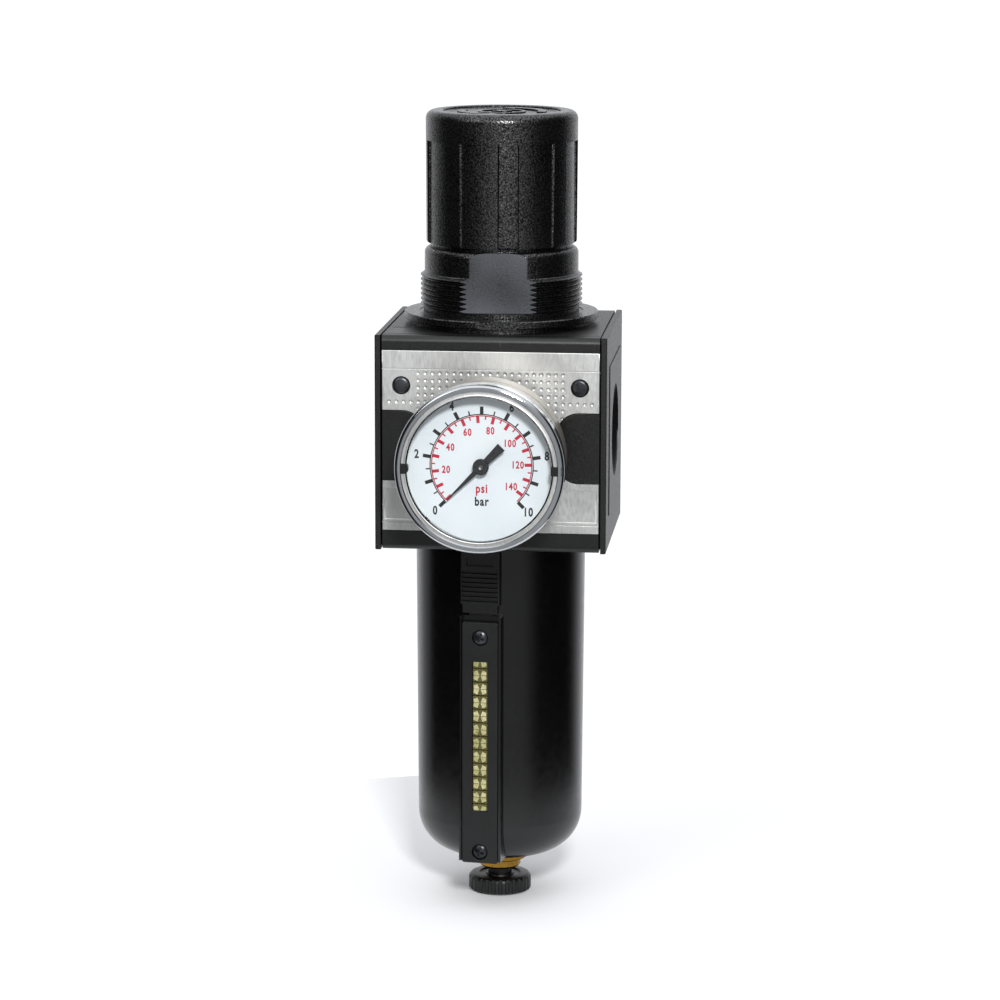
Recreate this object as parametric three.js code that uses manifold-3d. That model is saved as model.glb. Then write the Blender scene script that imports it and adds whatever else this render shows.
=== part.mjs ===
// Inline compressed-air filter-regulator: knob, bonnet, ported body, pressure gauge, filter bowl and drain.
// Millimetres, +Z up, +X towards the outlet, the gauge facing -Y.
// The origin is where the axis of the two ports crosses the vertical axis.
import * as THREE from "three";
import { mergeVertices } from "three/addons/utils/BufferGeometryUtils.js";
import Module from "manifold-3d";

const wasm = await Module();
wasm.setup();

// ---------------------------------------------------------------- driving dimensions

// Clearances shared by everything that fits together.
const FACE_GAP = 0.05; // between two faces that rest on each other
const SEAT_GAP = 0.15; // round a piece that is pressed, glued or screwed in
const FREE_GAP = 0.3; // round a piece that can be moved by hand
const RUNNING_GAP = 0.06; // radial, round a shaft that turns or slides in its bearing

const PAST = 1; // how far a cutter or a buried root reaches past a face
const WELD = 1e-4; // points closer than this are one point
const OVERLAP = 0.2; // how deep two joined shapes reach into each other where there is little room

// Numbers of facets round a turned shape.
const LARGE_ROUND = 24;
const MIDDLE_ROUND = 20;
const SMALL_ROUND = 12;
const POST_ROUND = 8;
const RING_SIDES = 6; // in the section of a round sealing ring
const EDGE_STEPS = 3; // in a rounded edge
const WIDE_STEPS = 4; // in a wide rounded edge or a slice of a ring

const BODY = {
  width: 70.5,
  depth: 66.4,
  height: 66,
  flange: 1.7, // thickness of the plate at each ported end
  groove: 0.55, // width of the shadow groove beside each end plate
  grooveDepth: 0.6,
  coverDepth: 4, // room in front and behind for the moulded covers
};
const PORT = {
  radius: 12.06, // core radius of a G 3/4 thread
  mouthRadius: 14.1,
  mouthDepth: 2,
  depth: 18,
  padHeight: 0.3,
  padSize: 46,
};
const PASSAGE = { width: 18, wall: 3, reach: 28, inletDrop: 4, outletDrop: 6, tubeGap: 0.5 };
const GAUGE_PORT = {
  height: -2,
  radius: 5.75,
  depth: 9, // below the casting's front
  bossRadius: 9.6,
  bossLength: 4.2,
  bossProud: 0.2, // in front of the front plate
  feed: 1.5,
  feedInset: 1,
};
const REAR_PLUG = { headRadius: 8.6, head: 2.4, shank: 8, hexFlats: 6, hexDepth: 6.4 };
const FRONT = {
  topBand: 4.5,
  bottomBand: 6,
  plate: 2,
  edgeRound: 2,
  pinRadius: 2.65,
  pinShank: 1.6,
  pinHeadProud: 0.25,
  pinInset: 7.6, // from the end plate's inner face
  pinDrop: 10.7, // below the top band
  notchTop: 10.2,
  notchBottom: -11.6,
  notchShort: 6.2, // where the notch starts to slope
  notchDeep: 12.6, // where it is deepest
  notchShoulder: 2, // the knee stands this far out from the deepest part
  notchKnee: 2.8, // and this far in from the notch's top and bottom
  notchCorner: 5.85,
  notchSink: 0.6,
  panelTop: -13.5,
  panelBottom: -23.6,
  panelInset: 0.6,
  panelSink: 0.35,
};
const TOP_SLOT = { length: 4, width: 1, depth: 0.4, x: -29.8, y: -15.5 };

const BONNET = {
  turn: 3, // degrees the spanner flats stand away from square
  boreRadius: 24.3,
  socketDepth: 13, // from the body's top down to the diaphragm's ledge
  collarRadius: 27,
  collarHeight: 1.6,
  flangeRadius: 30,
  flangeHeight: 2.3,
  flangeFlat: 29.3,
  reliefHeight: 1.4,
  undercut: 0.2, // round the thread's foot, so that a panel lies flat on the flange
  threadRadius: 25,
  threadPitch: 1.5,
  threadTurns: 7,
  threadDepth: 0.92,
  neckRadius: 23.75,
  neckHeight: 8.1,
  neckRound: 2,
  threadRunout: 0.3,
  flatDistance: 22.1,
  flatLift: 1.7, // the flats stop this far above the flange
  wall: 5.6, // from the spring chamber to the neck
  towerRadius: 20.4,
  towerHeight: 15.6,
  roof: 6.7,
  keyWidth: 5,
  keyDepth: 1.2,
  lockSlots: 12,
  lockSlotDepth: 1,
  lockSlotWidth: 1.6,
  lockHeight: 5.5,
};
const KNOB = {
  turn: 10.6, // degrees from the front to the nearest rib
  radius: 23.4,
  footRadius: 23.2,
  height: 40.6,
  lift: 1.1, // gap above the bonnet's shoulder while locked
  ribs: 8,
  ribAngle: 14, // degrees covered by one rib
  panelSink: 0.65,
  topBand: 9,
  edgeRound: 2.5,
  wall: 2.4,
  roof: 3.2,
  capRadius: 18.1,
  capRecess: 1.2,
  capThickness: 0.6,
  hubRadius: 8.8,
  hubClearance: 1.3, // from the tower's top to the hub
  lockTeeth: 6,
  toothAngle: 3,
  toothInset: 0.5,
  footRound: 0.8,
  socketDepth: 0.5,
};
const SPINDLE = {
  threadRadius: 5,
  shaftRadius: 5.25,
  collarRadius: 9,
  collarHeight: 2,
  washer: 0.9,
  hexFlats: 9,
  threadLength: 33.5,
  headGap: 3, // from the spindle's top to the knob's roof
};
const NUT = { radius: 17, height: 7, headRoom: 0.8 };
const DIAPHRAGM = {
  thickness: 1.5,
  ring: 1.45,
  ringWidth: 4.4,
  hole: 3.2,
  plateRadius: 16,
  plate: 1.8,
  bossRadius: 10,
  boss: 3,
  bossTaper: 1,
  seatRadius: 11,
  seat: 2.95,
  vent: 1,
};
const RANGE_SPRING = { radius: 13.5, wire: 1.9, turns: 5, sides: 5, steps: 12 };

const CONTROL = { radius: 20, depth: 5.5, floor: 2.5, feedAt: 14, feed: 1.2 };
const OUTLET = { radius: 15, height: 6 };
const SEAT = { web: 2.5, rim: 0.5, radius: 7, rimWidth: 1.2 };
const VALVE = {
  chamber: 11,
  radius: 9.2,
  disc: 3,
  seal: 0.9,
  sealInner: 5,
  boss: 4.7,
  stemRadius: 1.95,
  tailRadius: 3.95,
  tail: 15,
  springRoom: 11,
};
const VALVE_SPRING = { radius: 6.6, wire: 0.6, turns: 4, sides: 4, steps: 9 };
const CARRIER = {
  flange: 1.85,
  flangeRadius: 13.4,
  boreDepth: 12,
  airHoles: 4,
  airHole: 2.1,
  airCircle: 7.4,
  studRadius: 3,
  studInset: 1,
};
const TUBE = { radius: 14.5, lift: 3 }; // the casting's middle tube, ending above the body's underside
const ANNULUS = { outer: 21.5 };
const DEFLECTOR = {
  hub: 6,
  hubInner: 9.9,
  hubOuter: 13.9,
  outer: 21.2,
  rim: 0.9,
  rimLift: 1,
  rimHeight: 4,
  vanes: 9,
  vane: 1.4,
  vaneHeight: 3.4,
  tilt: 35,
};
const FILTER = { outer: 13, inner: 9.5, length: 50 };
const BAFFLE = { radius: 17, thickness: 3, bevel: 3, lip: 1 };
const FILTER_NUT = { radius: 6.2, height: 4.1, flats: 12 };

const SOCKET = { radius: 25, depth: 15, grooveRadius: 27.4, grooveDrop: 2.4, grooveHeight: 4.1 };
const LUGS = { count: 3, radius: 26.9, angle: 30, slotAngle: 38, turn: 45, height: 3.3, lift: 0.4 };
const BOWL = {
  turn: -7, // degrees the rib stands away from the gauge side
  gap: 0.4, // from the body's underside to the shoulder
  radius: 26.45,
  taper: 0.6, // the wall's foot is this much slimmer than its shoulder
  length: 88.6, // straight wall, from the shoulder down
  bottomRound: 13,
  wall: 2.4,
  neckRadius: 24.6,
  neckInner: 21.8,
  neckHeight: 13.9,
  bossRadius: 10.6,
  bossFoot: 8.8,
  bossHeight: 1.4,
  bossEdge: 0.2,
  roundSteps: 5,
  neckSlope: 3,
  drainHole: 5.75,
};
const BOWL_RING = { section: 0.8, stretch: 23.95, drop: 3.9, grooveWidth: 2.4, grooveRadius: 23.1 };
// The flat rib on the gauge side: stand and floor are measured out from the shoulder, root inwards from it.
const RIB = { halfWidth: 6.65, wall: 0.8, stand: 2.55, floor: 0.6, root: 6.45, top: 21, bottom: 1.4 };
const LATCH = {
  halfWidth: 6.15,
  footHalfWidth: 5.55,
  footHeight: 2.4,
  thickness: 1.75,
  top: 0.1, // below the shoulder
  bottom: 19.8,
  skirt: 2.1,
  skirtDepth: 0.95,
  grooves: 7,
  groovePitch: 1.45,
  grooveHeight: 0.7,
  grooveDepth: 0.6,
  firstGroove: 6.7,
  windowHalfWidth: 4.2,
  windowTop: 2.4,
  windowHeight: 2.7,
  lugTop: 6.2,
  lugHeight: 2,
  lugHalfWidth: 1.3,
};
const RAIL = {
  halfWidth: 3.8,
  stand: 0.45, // out from the bowl's shoulder
  top: 0.6,
  slotHalfWidth: 1.6,
  slotDepth: 1.8,
  slotTop: 6,
  slotBottom: 19.6,
};
const LATCH_SPRING = { radius: 0.6, wire: 0.2, turns: 5, sides: 4, steps: 8 };
const LATCH_NOTCH = { halfWidth: 3.2, depth: 2, stand: 0.15, reach: 2 };
const COVER = { top: 22.7, bottom: 0.5, thickness: 1.85, screwInset: 4.9, screwFoot: 3.6 };
const SCREW = {
  headRadius: 2.3,
  head: 1.1,
  radius: 1.1,
  length: 3.4,
  crown: 0.1, // the head's rise above the cover
  arm: 1.4,
  slit: 0.35,
  slitDepth: 0.7,
};
const WINDOW = { halfWidth: 2.42, top: 35.05, bottom: 19.05, glassGap: 0.15 };
const GLASS = {
  halfWidth: 4.1,
  overlap: 4,
  flange: 1.35,
  gasket: 0.65,
  slotHalfWidth: 2.9,
  slotOverlap: 1.7,
  sink: 0.6, // below the cover's face
};

const DRAIN = {
  flangeRadius: 8.75,
  flange: 1.65,
  nutRadius: 6.6,
  nut: 3.1,
  chamfer: 0.7,
  shankRadius: 5.6,
  shank: 3.9,
  collarRadius: 5,
  collar: 4,
  bore: 3.84,
  boreTop: 3.6, // height of the wide bore above the flange
  throat: 2.6,
  stemRadius: 3.78,
  pinRadius: 1.7,
  sealRadius: 4.2,
  seal: 1.55,
  headRadius: 3,
  head: 1.2,
  vent: 0.8,
  wheelGap: 2.4,
  wheelRadius: 9.85,
  wheel: 5.45,
  flutes: 28,
  fluteDepth: 0.7,
  land: 0.6, // share of a flute's pitch that stands full height
  hub: 2.9,
  travel: 2,
  ventStop: 1.5,
  crossHole: 1,
  crossStop: 0.5,
};
const DRAIN_SPRING = { radius: 2.9, wire: 0.3, turns: 2, sides: 4, steps: 10 };

const GAUGE = {
  square: 14,
  squareLength: 4.7,
  shankLength: 9,
  shankRadius: 5.6,
  neckRadius: 4.5,
  caseRadius: 23.9,
  caseWall: 1,
  caseDepth: 22.7,
  caseRound: 2.5,
  bezelRadius: 25.2,
  bezelInner: 21.5,
  bezelDepth: 6.5,
  bezelStep: 23.2,
  bezelLap: 1.5, // over the case
  bezelRound: 1.2,
  lipWidth: 0.6,
  lipDepth: 1,
  window: 1.4,
  windowSink: 2,
  dialSink: 7.9,
  dial: 0.5,
  pointerSink: 5.6,
  pointer: 0.6,
  pointerLength: 14.2,
  pointerTail: 8.6,
  tailHalf: 1.1,
  bladeHalf: 0.9,
  hubRadius: 2.4,
  hubBack: 0.4,
  hubFront: 0.5,
  arbor: 0.8,
  pinion: 1.6,
  pinionHalf: 1.1,
  sector: 9,
  sectorAngle: 74,
  sectorSteps: 8,
  sectorHub: 1.8,
  sectorHubHalf: 1,
  meshGap: 0.1,
  plateRadius: 12.5,
  plate: 1.5,
  plateSink: 11,
  pitchLine: 16.8,
  gearWidth: 1.2,
  tubeRadius: 17.5,
  tubeHalfWidth: 1.2,
  tubeHalfHeight: 1.7,
  tubeSweep: 262,
  tubeSteps: 18,
  blockHalfWidth: 5.5,
  block: 6,
  boreStop: 2, // below the block's top
  sweep: 270, // degrees from the first mark to the last
};
const POSTS = { radius: 1.1, root: 0.5, rearX: 4.2, rearY: 4.2, frontX: 8, frontY: 5 };

// ---------------------------------------------------------------- levels worked out from them

const halfWidth = BODY.width / 2;
const halfDepth = BODY.depth / 2;
const top = BODY.height / 2;
const bottom = -top;
const flangeInner = halfWidth - BODY.flange;
const coreHalfWidth = flangeInner - BODY.groove;
const coreFront = halfDepth - BODY.coverDepth;

const annulusTop = -PORT.radius - PASSAGE.wall;
const ledge = top - BONNET.socketDepth;
const ringBottom = ledge + DIAPHRAGM.thickness + 2 * FACE_GAP;
const skirtBottom = ringBottom + DIAPHRAGM.ring + FACE_GAP;
const flangeBottom = top + BONNET.collarHeight;
const flangeTop = flangeBottom + BONNET.flangeHeight;
const threadBottom = flangeTop + BONNET.reliefHeight;
const threadTop = threadBottom + BONNET.threadTurns * BONNET.threadPitch;
const shoulder = threadTop + BONNET.neckHeight;
const towerTop = shoulder + BONNET.towerHeight;
const springRoof = towerTop - BONNET.roof;
const chamberRadius = BONNET.neckRadius - BONNET.wall;

const knobFoot = shoulder + KNOB.lift;
const knobTop = knobFoot + KNOB.height;
const knobRoof = knobTop - KNOB.capRecess - KNOB.roof;
const hubFoot = towerTop + KNOB.hubClearance;
const collarTop = springRoof - SPINDLE.washer - 2 * FACE_GAP;
const collarBottom = collarTop - SPINDLE.collarHeight;
const nutTop = collarBottom - NUT.headRoom;
const nutBottom = nutTop - NUT.height;

const diaphragmTop = ledge + DIAPHRAGM.thickness + FACE_GAP;
const plateTop = diaphragmTop + FACE_GAP + DIAPHRAGM.plate;
const reliefBottom = ledge - DIAPHRAGM.seat;
const controlFloor = ledge - CONTROL.depth;
const outletRoof = controlFloor - CONTROL.floor;
const outletFloor = outletRoof - OUTLET.height;
const seatRim = outletFloor - SEAT.web - SEAT.rim;
const sealTop = seatRim - FACE_GAP;
const discTop = sealTop - VALVE.seal - FACE_GAP;
const discBottom = discTop - VALVE.disc;
const carrierTop = discBottom - VALVE.springRoom;
const tubeEnd = bottom + TUBE.lift;
const carrierFlange = tubeEnd - FACE_GAP - CARRIER.flange;
const deflectorBottom = carrierFlange - FACE_GAP - DEFLECTOR.hub;
const filterTop = deflectorBottom - FACE_GAP;
const filterBottom = filterTop - FILTER.length;
const baffleBottom = filterBottom - FACE_GAP - BAFFLE.thickness;
const filterNutTop = baffleBottom - FACE_GAP;
const filterNutBottom = filterNutTop - FILTER_NUT.height;

const bowlTop = bottom - BOWL.gap;
const bowlStraightEnd = bowlTop - BOWL.length;
const bowlBottom = bowlStraightEnd - BOWL.bottomRound;
const bossBottom = bowlBottom - BOWL.bossHeight;
const ribTop = bowlTop - RIB.top;
const ribBottom = bowlBottom + RIB.bottom + BOWL.bossHeight;
const ribFront = BOWL.radius + RIB.stand;
const ribFloor = BOWL.radius + RIB.floor;
const ribRoot = BOWL.radius - RIB.root;
const railFront = BOWL.radius + RAIL.stand;
const coverTop = bowlTop - COVER.top;
const coverBottom = ribBottom - COVER.bottom;
const windowTop = bowlTop - WINDOW.top;
const windowBottom = bowlBottom + WINDOW.bottom;

const boss = halfDepth + GAUGE_PORT.bossProud;
const squareFront = boss + FACE_GAP + GAUGE.squareLength;
const caseBack = squareFront + FACE_GAP;
const bezelFront = caseBack + GAUGE.caseDepth + GAUGE.bezelDepth - GAUGE.bezelLap;

// ---------------------------------------------------------------- shapes

// The geometry as a closed manifold solid with its faces pointing out.
function solid(geometry) {
  const bare = geometry.clone();
  bare.deleteAttribute("normal");
  bare.deleteAttribute("uv");
  const merged = mergeVertices(bare, WELD);
  const triVerts = new Uint32Array(merged.index.array);
  const vertProperties = new Float32Array(merged.attributes.position.array);
  const made = new wasm.Manifold(new wasm.Mesh({ numProp: 3, vertProperties, triVerts }));
  if (made.volume() > 0) return made;
  for (let i = 0; i < triVerts.length; i += 3) {
    [triVerts[i + 1], triVerts[i + 2]] = [triVerts[i + 2], triVerts[i + 1]];
  }
  return new wasm.Manifold(new wasm.Mesh({ numProp: 3, vertProperties, triVerts }));
}

function geometryOf(made) {
  const mesh = made.getMesh();
  const geometry = new THREE.BufferGeometry();
  geometry.setAttribute("position", new THREE.BufferAttribute(new Float32Array(mesh.vertProperties), 3));
  geometry.setIndex(new THREE.BufferAttribute(new Uint32Array(mesh.triVerts), 1));
  return geometry;
}

function join(...shapes) {
  return geometryOf(shapes.map(solid).reduce((a, b) => a.add(b)));
}

function cut(shape, ...tools) {
  return geometryOf(tools.map(solid).reduce((a, b) => a.subtract(b), solid(shape)));
}

// A turned shape about Z from a closed outline of [radius, height] points.
function turned(outline, facets) {
  const area = outline.reduce((sum, [r, z], i) => {
    const [nextR, nextZ] = outline[(i + 1) % outline.length];
    return sum + r * nextZ - nextR * z;
  }, 0);
  const ordered = area > 0 ? [...outline] : [...outline].reverse();
  const before = (i) => ordered[(i + ordered.length - 1) % ordered.length];
  const onAxis = ordered.findIndex(([r], i) => r === 0 && before(i)[0] === 0);
  if (onAxis >= 0) ordered.push(...ordered.splice(0, onAxis));
  else ordered.push(ordered[0]);
  const points = ordered.map(([r, z]) => new THREE.Vector2(r, z));
  return new THREE.LatheGeometry(points, facets).rotateX(Math.PI / 2);
}

function disc(radius, z0, z1, facets) {
  return turned([[0, z0], [radius, z0], [radius, z1], [0, z1]], facets);
}

function ring(inner, outer, z0, z1, facets) {
  return turned([[inner, z0], [outer, z0], [outer, z1], [inner, z1]], facets);
}

function block([x0, x1], [y0, y1], [z0, z1]) {
  const box = new THREE.BoxGeometry(x1 - x0, y1 - y0, z1 - z0);
  return box.translate((x0 + x1) / 2, (y0 + y1) / 2, (z0 + z1) / 2);
}

// Points of a quarter turn or any other arc, from one angle to another in degrees.
function arc(cx, cy, radius, from, to, steps) {
  return Array.from({ length: steps + 1 }, (_, i) => {
    const angle = THREE.MathUtils.degToRad(from + ((to - from) * i) / Math.max(steps, 1));
    return [cx + radius * Math.cos(angle), cy + radius * Math.sin(angle)];
  });
}

// An outline in the XY plane pulled up from z0 to z1.
function prism(outline, z0, z1) {
  const shape = new THREE.Shape(outline.map(([x, y]) => new THREE.Vector2(x, y)));
  return new THREE.ExtrudeGeometry(shape, { depth: z1 - z0, bevelEnabled: false }).translate(0, 0, z0);
}

// A slice of a ring, centred on an angle measured from +X.
function sector(inner, outer, z0, z1, middle, span, steps) {
  const outline = [
    ...arc(0, 0, outer, middle - span / 2, middle + span / 2, steps),
    ...arc(0, 0, inner, middle + span / 2, middle - span / 2, steps),
  ];
  return prism(outline, z0, z1);
}

// An outline of [x, z] points pulled along Y from the nearer plane to the further one.
function slab(outline, y0, y1) {
  return prism(outline, -y1, -y0).rotateX(Math.PI / 2);
}

// An outline of [y, z] points, taken anticlockwise seen from +X, pulled along X.
function profileAlongX(outline, x0, x1) {
  return prism(outline, x0, x1).rotateX(Math.PI / 2).rotateZ(Math.PI / 2);
}

// Points evenly round a circle.
function circle(cx, cy, radius, count) {
  return arc(cx, cy, radius, 0, 360, count).slice(0, -1);
}

function turnedTo(geometry, degrees) {
  return geometry.rotateZ(THREE.MathUtils.degToRad(degrees));
}

class Helix extends THREE.Curve {
  constructor(radius, z0, z1, turns) {
    super();
    Object.assign(this, { radius, z0, z1, turns });
  }
  getPoint(t, target = new THREE.Vector3()) {
    const angle = t * this.turns * 2 * Math.PI;
    return target.set(
      this.radius * Math.cos(angle),
      this.radius * Math.sin(angle),
      this.z0 + (this.z1 - this.z0) * t,
    );
  }
}

// A coil spring standing between two faces.
function coil({ radius, wire, turns, sides, steps }, z0, z1) {
  const gap = FACE_GAP + wire;
  const section = new THREE.Shape(circle(0, 0, wire, sides).map((p) => new THREE.Vector2(...p)));
  const extrudePath = new Helix(radius, z0 + gap, z1 - gap, turns);
  return new THREE.ExtrudeGeometry(section, { steps: turns * steps, extrudePath });
}

function hexagon(flats, z0, z1) {
  return disc(flats / 2 / Math.cos(Math.PI / 6), z0, z1, 6);
}

// ---------------------------------------------------------------- materials

function standard(color, roughness, metalness) {
  return new THREE.MeshStandardMaterial({ color, roughness, metalness });
}

const MATERIALS = {
  casting: standard("#1d1e1f", 0.5, 0.2),
  moulding: standard("#191a1b", 0.55, 0),
  grained: standard("#17181a", 0.6, 0),
  zinc: standard("#d2d5d0", 0.35, 0.9),
  chrome: standard("#d8dadb", 0.12, 1),
  steel: standard("#b4b6b8", 0.3, 1),
  brass: standard("#c39a3a", 0.28, 1),
  rubber: standard("#141414", 0.8, 0),
  dial: standard("#dfe9e9", 0.5, 0),
  pointer: standard("#1b1c20", 0.5, 0),
  prism: standard("#c8b86a", 0.1, 0),
  glass: standard("#e8f0f2", 0.05, 0),
  paint: standard("#121314", 0.35, 0.3),
  filter: standard("#e6e4dc", 0.9, 0),
  plastic: standard("#c9c7be", 0.5, 0),
};

function mesh(name, geometry, material) {
  const flat = geometryOf(solid(geometry)).toNonIndexed();
  flat.computeVertexNormals();
  const made = new THREE.Mesh(flat, material);
  made.name = name;
  return made;
}

// ---------------------------------------------------------------- body

// Everything that is cored, bored and milled out of the casting.
function bodyPassages() {
  const port = (side) =>
    turned(
      [
        [0, 0],
        [PORT.mouthRadius, 0],
        [PORT.radius, PORT.mouthDepth],
        [PORT.radius, PORT.depth],
        [0, PORT.depth + PORT.radius / 2], // the drill's point
      ].map(([r, z]) => [r, z - halfWidth - PORT.padHeight]),
      LARGE_ROUND,
    ).rotateY((side * Math.PI) / 2);
  const width = [-PASSAGE.width / 2, PASSAGE.width / 2];
  const inletReach = [-PASSAGE.reach, -TUBE.radius - PASSAGE.tubeGap];
  const inlet = block(inletReach, width, [annulusTop - PASSAGE.inletDrop, 0]);
  const outletReach = [VALVE.chamber + PASSAGE.wall, PASSAGE.reach];
  const outlet = block(outletReach, width, [-PASSAGE.outletDrop, outletRoof]);
  const throat = block([0, PASSAGE.reach], width, [outletFloor, outletRoof]);
  const bores = turned(
    [
      [0, carrierTop - PAST],
      [VALVE.chamber, carrierTop - PAST],
      [VALVE.chamber, seatRim + SEAT.rim],
      [SEAT.radius + SEAT.rimWidth, seatRim + SEAT.rim],
      [SEAT.radius + SEAT.rimWidth, seatRim],
      [SEAT.radius, seatRim],
      [SEAT.radius, outletFloor],
      [OUTLET.radius, outletFloor],
      [OUTLET.radius, outletRoof],
      [VALVE.stemRadius + RUNNING_GAP, outletRoof],
      [VALVE.stemRadius + RUNNING_GAP, controlFloor],
      [CONTROL.radius, controlFloor],
      [CONTROL.radius, ledge],
      [BONNET.boreRadius, ledge],
      [BONNET.boreRadius, top + PAST],
      [0, top + PAST],
    ],
    LARGE_ROUND,
  );
  const feed = disc(CONTROL.feed, outletRoof - PAST, controlFloor + PAST, SMALL_ROUND);
  feed.translate(CONTROL.feedAt, 0, 0);
  return [port(1), port(-1), inlet, outlet, throat, bores, feed];
}

// The bayonet socket under the body, with the tube that carries the filter left standing in it.
function bowlSocket() {
  const socketTop = bottom + SOCKET.depth;
  const annulusRoof = Math.max(annulusTop, socketTop + PAST);
  const grooveBottom = bottom + SOCKET.grooveDrop;
  const grooveTop = grooveBottom + SOCKET.grooveHeight;
  const socket = turned(
    [
      [TUBE.radius, bottom - PAST],
      [SOCKET.radius, bottom - PAST],
      [SOCKET.radius, grooveBottom],
      [SOCKET.grooveRadius, grooveBottom],
      [SOCKET.grooveRadius, grooveTop],
      [SOCKET.radius, grooveTop],
      [SOCKET.radius, socketTop],
      [ANNULUS.outer, socketTop],
      [ANNULUS.outer, annulusRoof],
      [TUBE.radius, annulusRoof],
    ],
    LARGE_ROUND,
  );
  const tubeBore = disc(VALVE.chamber, bottom - PAST, seatRim, LARGE_ROUND);
  const tubeFoot = ring(VALVE.chamber - PAST, TUBE.radius + PAST, bottom - PAST, tubeEnd, LARGE_ROUND);
  const entries = Array.from({ length: LUGS.count }, (_, i) => {
    const middle = BOWL.turn + LUGS.turn + (i * 360) / LUGS.count;
    const levels = [bottom - PAST, grooveBottom + OVERLAP];
    return sector(SOCKET.radius - PAST, SOCKET.grooveRadius, ...levels, middle, LUGS.slotAngle, WIDE_STEPS);
  });
  const notchInner = BOWL.radius + LATCH_NOTCH.stand;
  const notch = block(
    [-LATCH_NOTCH.halfWidth, LATCH_NOTCH.halfWidth],
    [-notchInner - LATCH_NOTCH.reach, -notchInner],
    [bottom - PAST, bottom + LATCH_NOTCH.depth],
  );
  return [socket, tubeBore, tubeFoot, ...entries, turnedTo(notch, BOWL.turn)];
}

// A blind threaded hole along Y with a small passage up to the outlet chamber.
function gaugePort(side) {
  const depth = GAUGE_PORT.depth + boss - coreFront;
  return disc(GAUGE_PORT.radius, 0, depth, MIDDLE_ROUND)
    .rotateX((-side * Math.PI) / 2)
    .translate(0, side * (boss - depth), GAUGE_PORT.height);
}

function gaugeFeed() {
  const reach = coreFront - GAUGE_PORT.depth + GAUGE_PORT.feedInset;
  const middle = outletFloor + OUTLET.height / 2;
  const up = disc(GAUGE_PORT.feed, GAUGE_PORT.height, middle, SMALL_ROUND);
  const across = block(
    [-GAUGE_PORT.feed, GAUGE_PORT.feed],
    [-reach - PAST, -OUTLET.radius + PAST],
    [outletFloor + GAUGE_PORT.feedInset, middle],
  );
  return join(up.translate(0, -reach, 0), across);
}

function gaugeBoss(side) {
  return disc(GAUGE_PORT.bossRadius, 0, GAUGE_PORT.bossLength + PAST, MIDDLE_ROUND)
    .rotateX((-side * Math.PI) / 2)
    .translate(0, side * (coreFront - PAST), GAUGE_PORT.height);
}

function bodyCasting() {
  const core = block([-coreHalfWidth, coreHalfWidth], [-coreFront, coreFront], [bottom, top]);
  const neckDepth = coreFront - BODY.grooveDepth;
  const neckHeight = top - BODY.grooveDepth;
  const neckHalf = flangeInner + OVERLAP;
  const neck = block([-neckHalf, neckHalf], [-neckDepth, neckDepth], [-neckHeight, neckHeight]);
  const ends = [-1, 1].map((side) => {
    const plate = block([flangeInner, halfWidth], [-halfDepth, halfDepth], [bottom, top]);
    const half = PORT.padSize / 2;
    const pad = block([flangeInner, halfWidth + PORT.padHeight], [-half, half], [-half, half]);
    return join(plate, pad).rotateZ(side > 0 ? 0 : Math.PI);
  });
  const outside = join(core, neck, ...ends, gaugeBoss(-1), gaugeBoss(1));
  const slotX = TOP_SLOT.length / 2;
  const slotY = TOP_SLOT.width / 2;
  const slot = block([-slotX, slotX], [-slotY, slotY], [top - TOP_SLOT.depth, top + PAST]);
  return cut(
    outside,
    ...bodyPassages(),
    ...bowlSocket(),
    gaugePort(-1),
    gaugePort(1),
    gaugeFeed(),
    slot.translate(TOP_SLOT.x, TOP_SLOT.y, 0),
  );
}

// ---------------------------------------------------------------- covers and front plate

const bossClear = GAUGE_PORT.bossRadius + FREE_GAP;

function bossHole(y0, y1) {
  return slab(circle(0, GAUGE_PORT.height, bossClear, MIDDLE_ROUND), y0, y1);
}

// Outline of one side notch of the front plate, out to edge; grow makes it larger all round.
function notchOutline(side, grow, edge) {
  const start = coreHalfWidth - FRONT.notchShort;
  const deep = coreHalfWidth - FRONT.notchDeep - grow;
  const upper = FRONT.notchTop + grow;
  const lower = FRONT.notchBottom - grow;
  return [
    [edge, lower],
    [edge, upper],
    [start, upper],
    [deep + FRONT.notchShoulder, upper - FRONT.notchKnee],
    [deep, upper - FRONT.notchCorner],
    [deep, lower + FRONT.notchCorner],
    [deep + FRONT.notchShoulder, lower + FRONT.notchKnee],
    [start, lower],
  ].map(([x, z]) => [side * x, z]);
}

const coverTopEdge = top - FACE_GAP;
const plateTopEdge = coverTopEdge - FRONT.topBand;
const plateBottomEdge = -coverTopEdge + FRONT.bottomBand;
const pinX = coreHalfWidth - FRONT.pinInset + BODY.flange;
const pinZ = plateTopEdge - FRONT.pinDrop;

function pinHole(side, radius, y0, y1) {
  return slab(circle(side * pinX, pinZ, radius, SMALL_ROUND), y0, y1);
}

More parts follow.
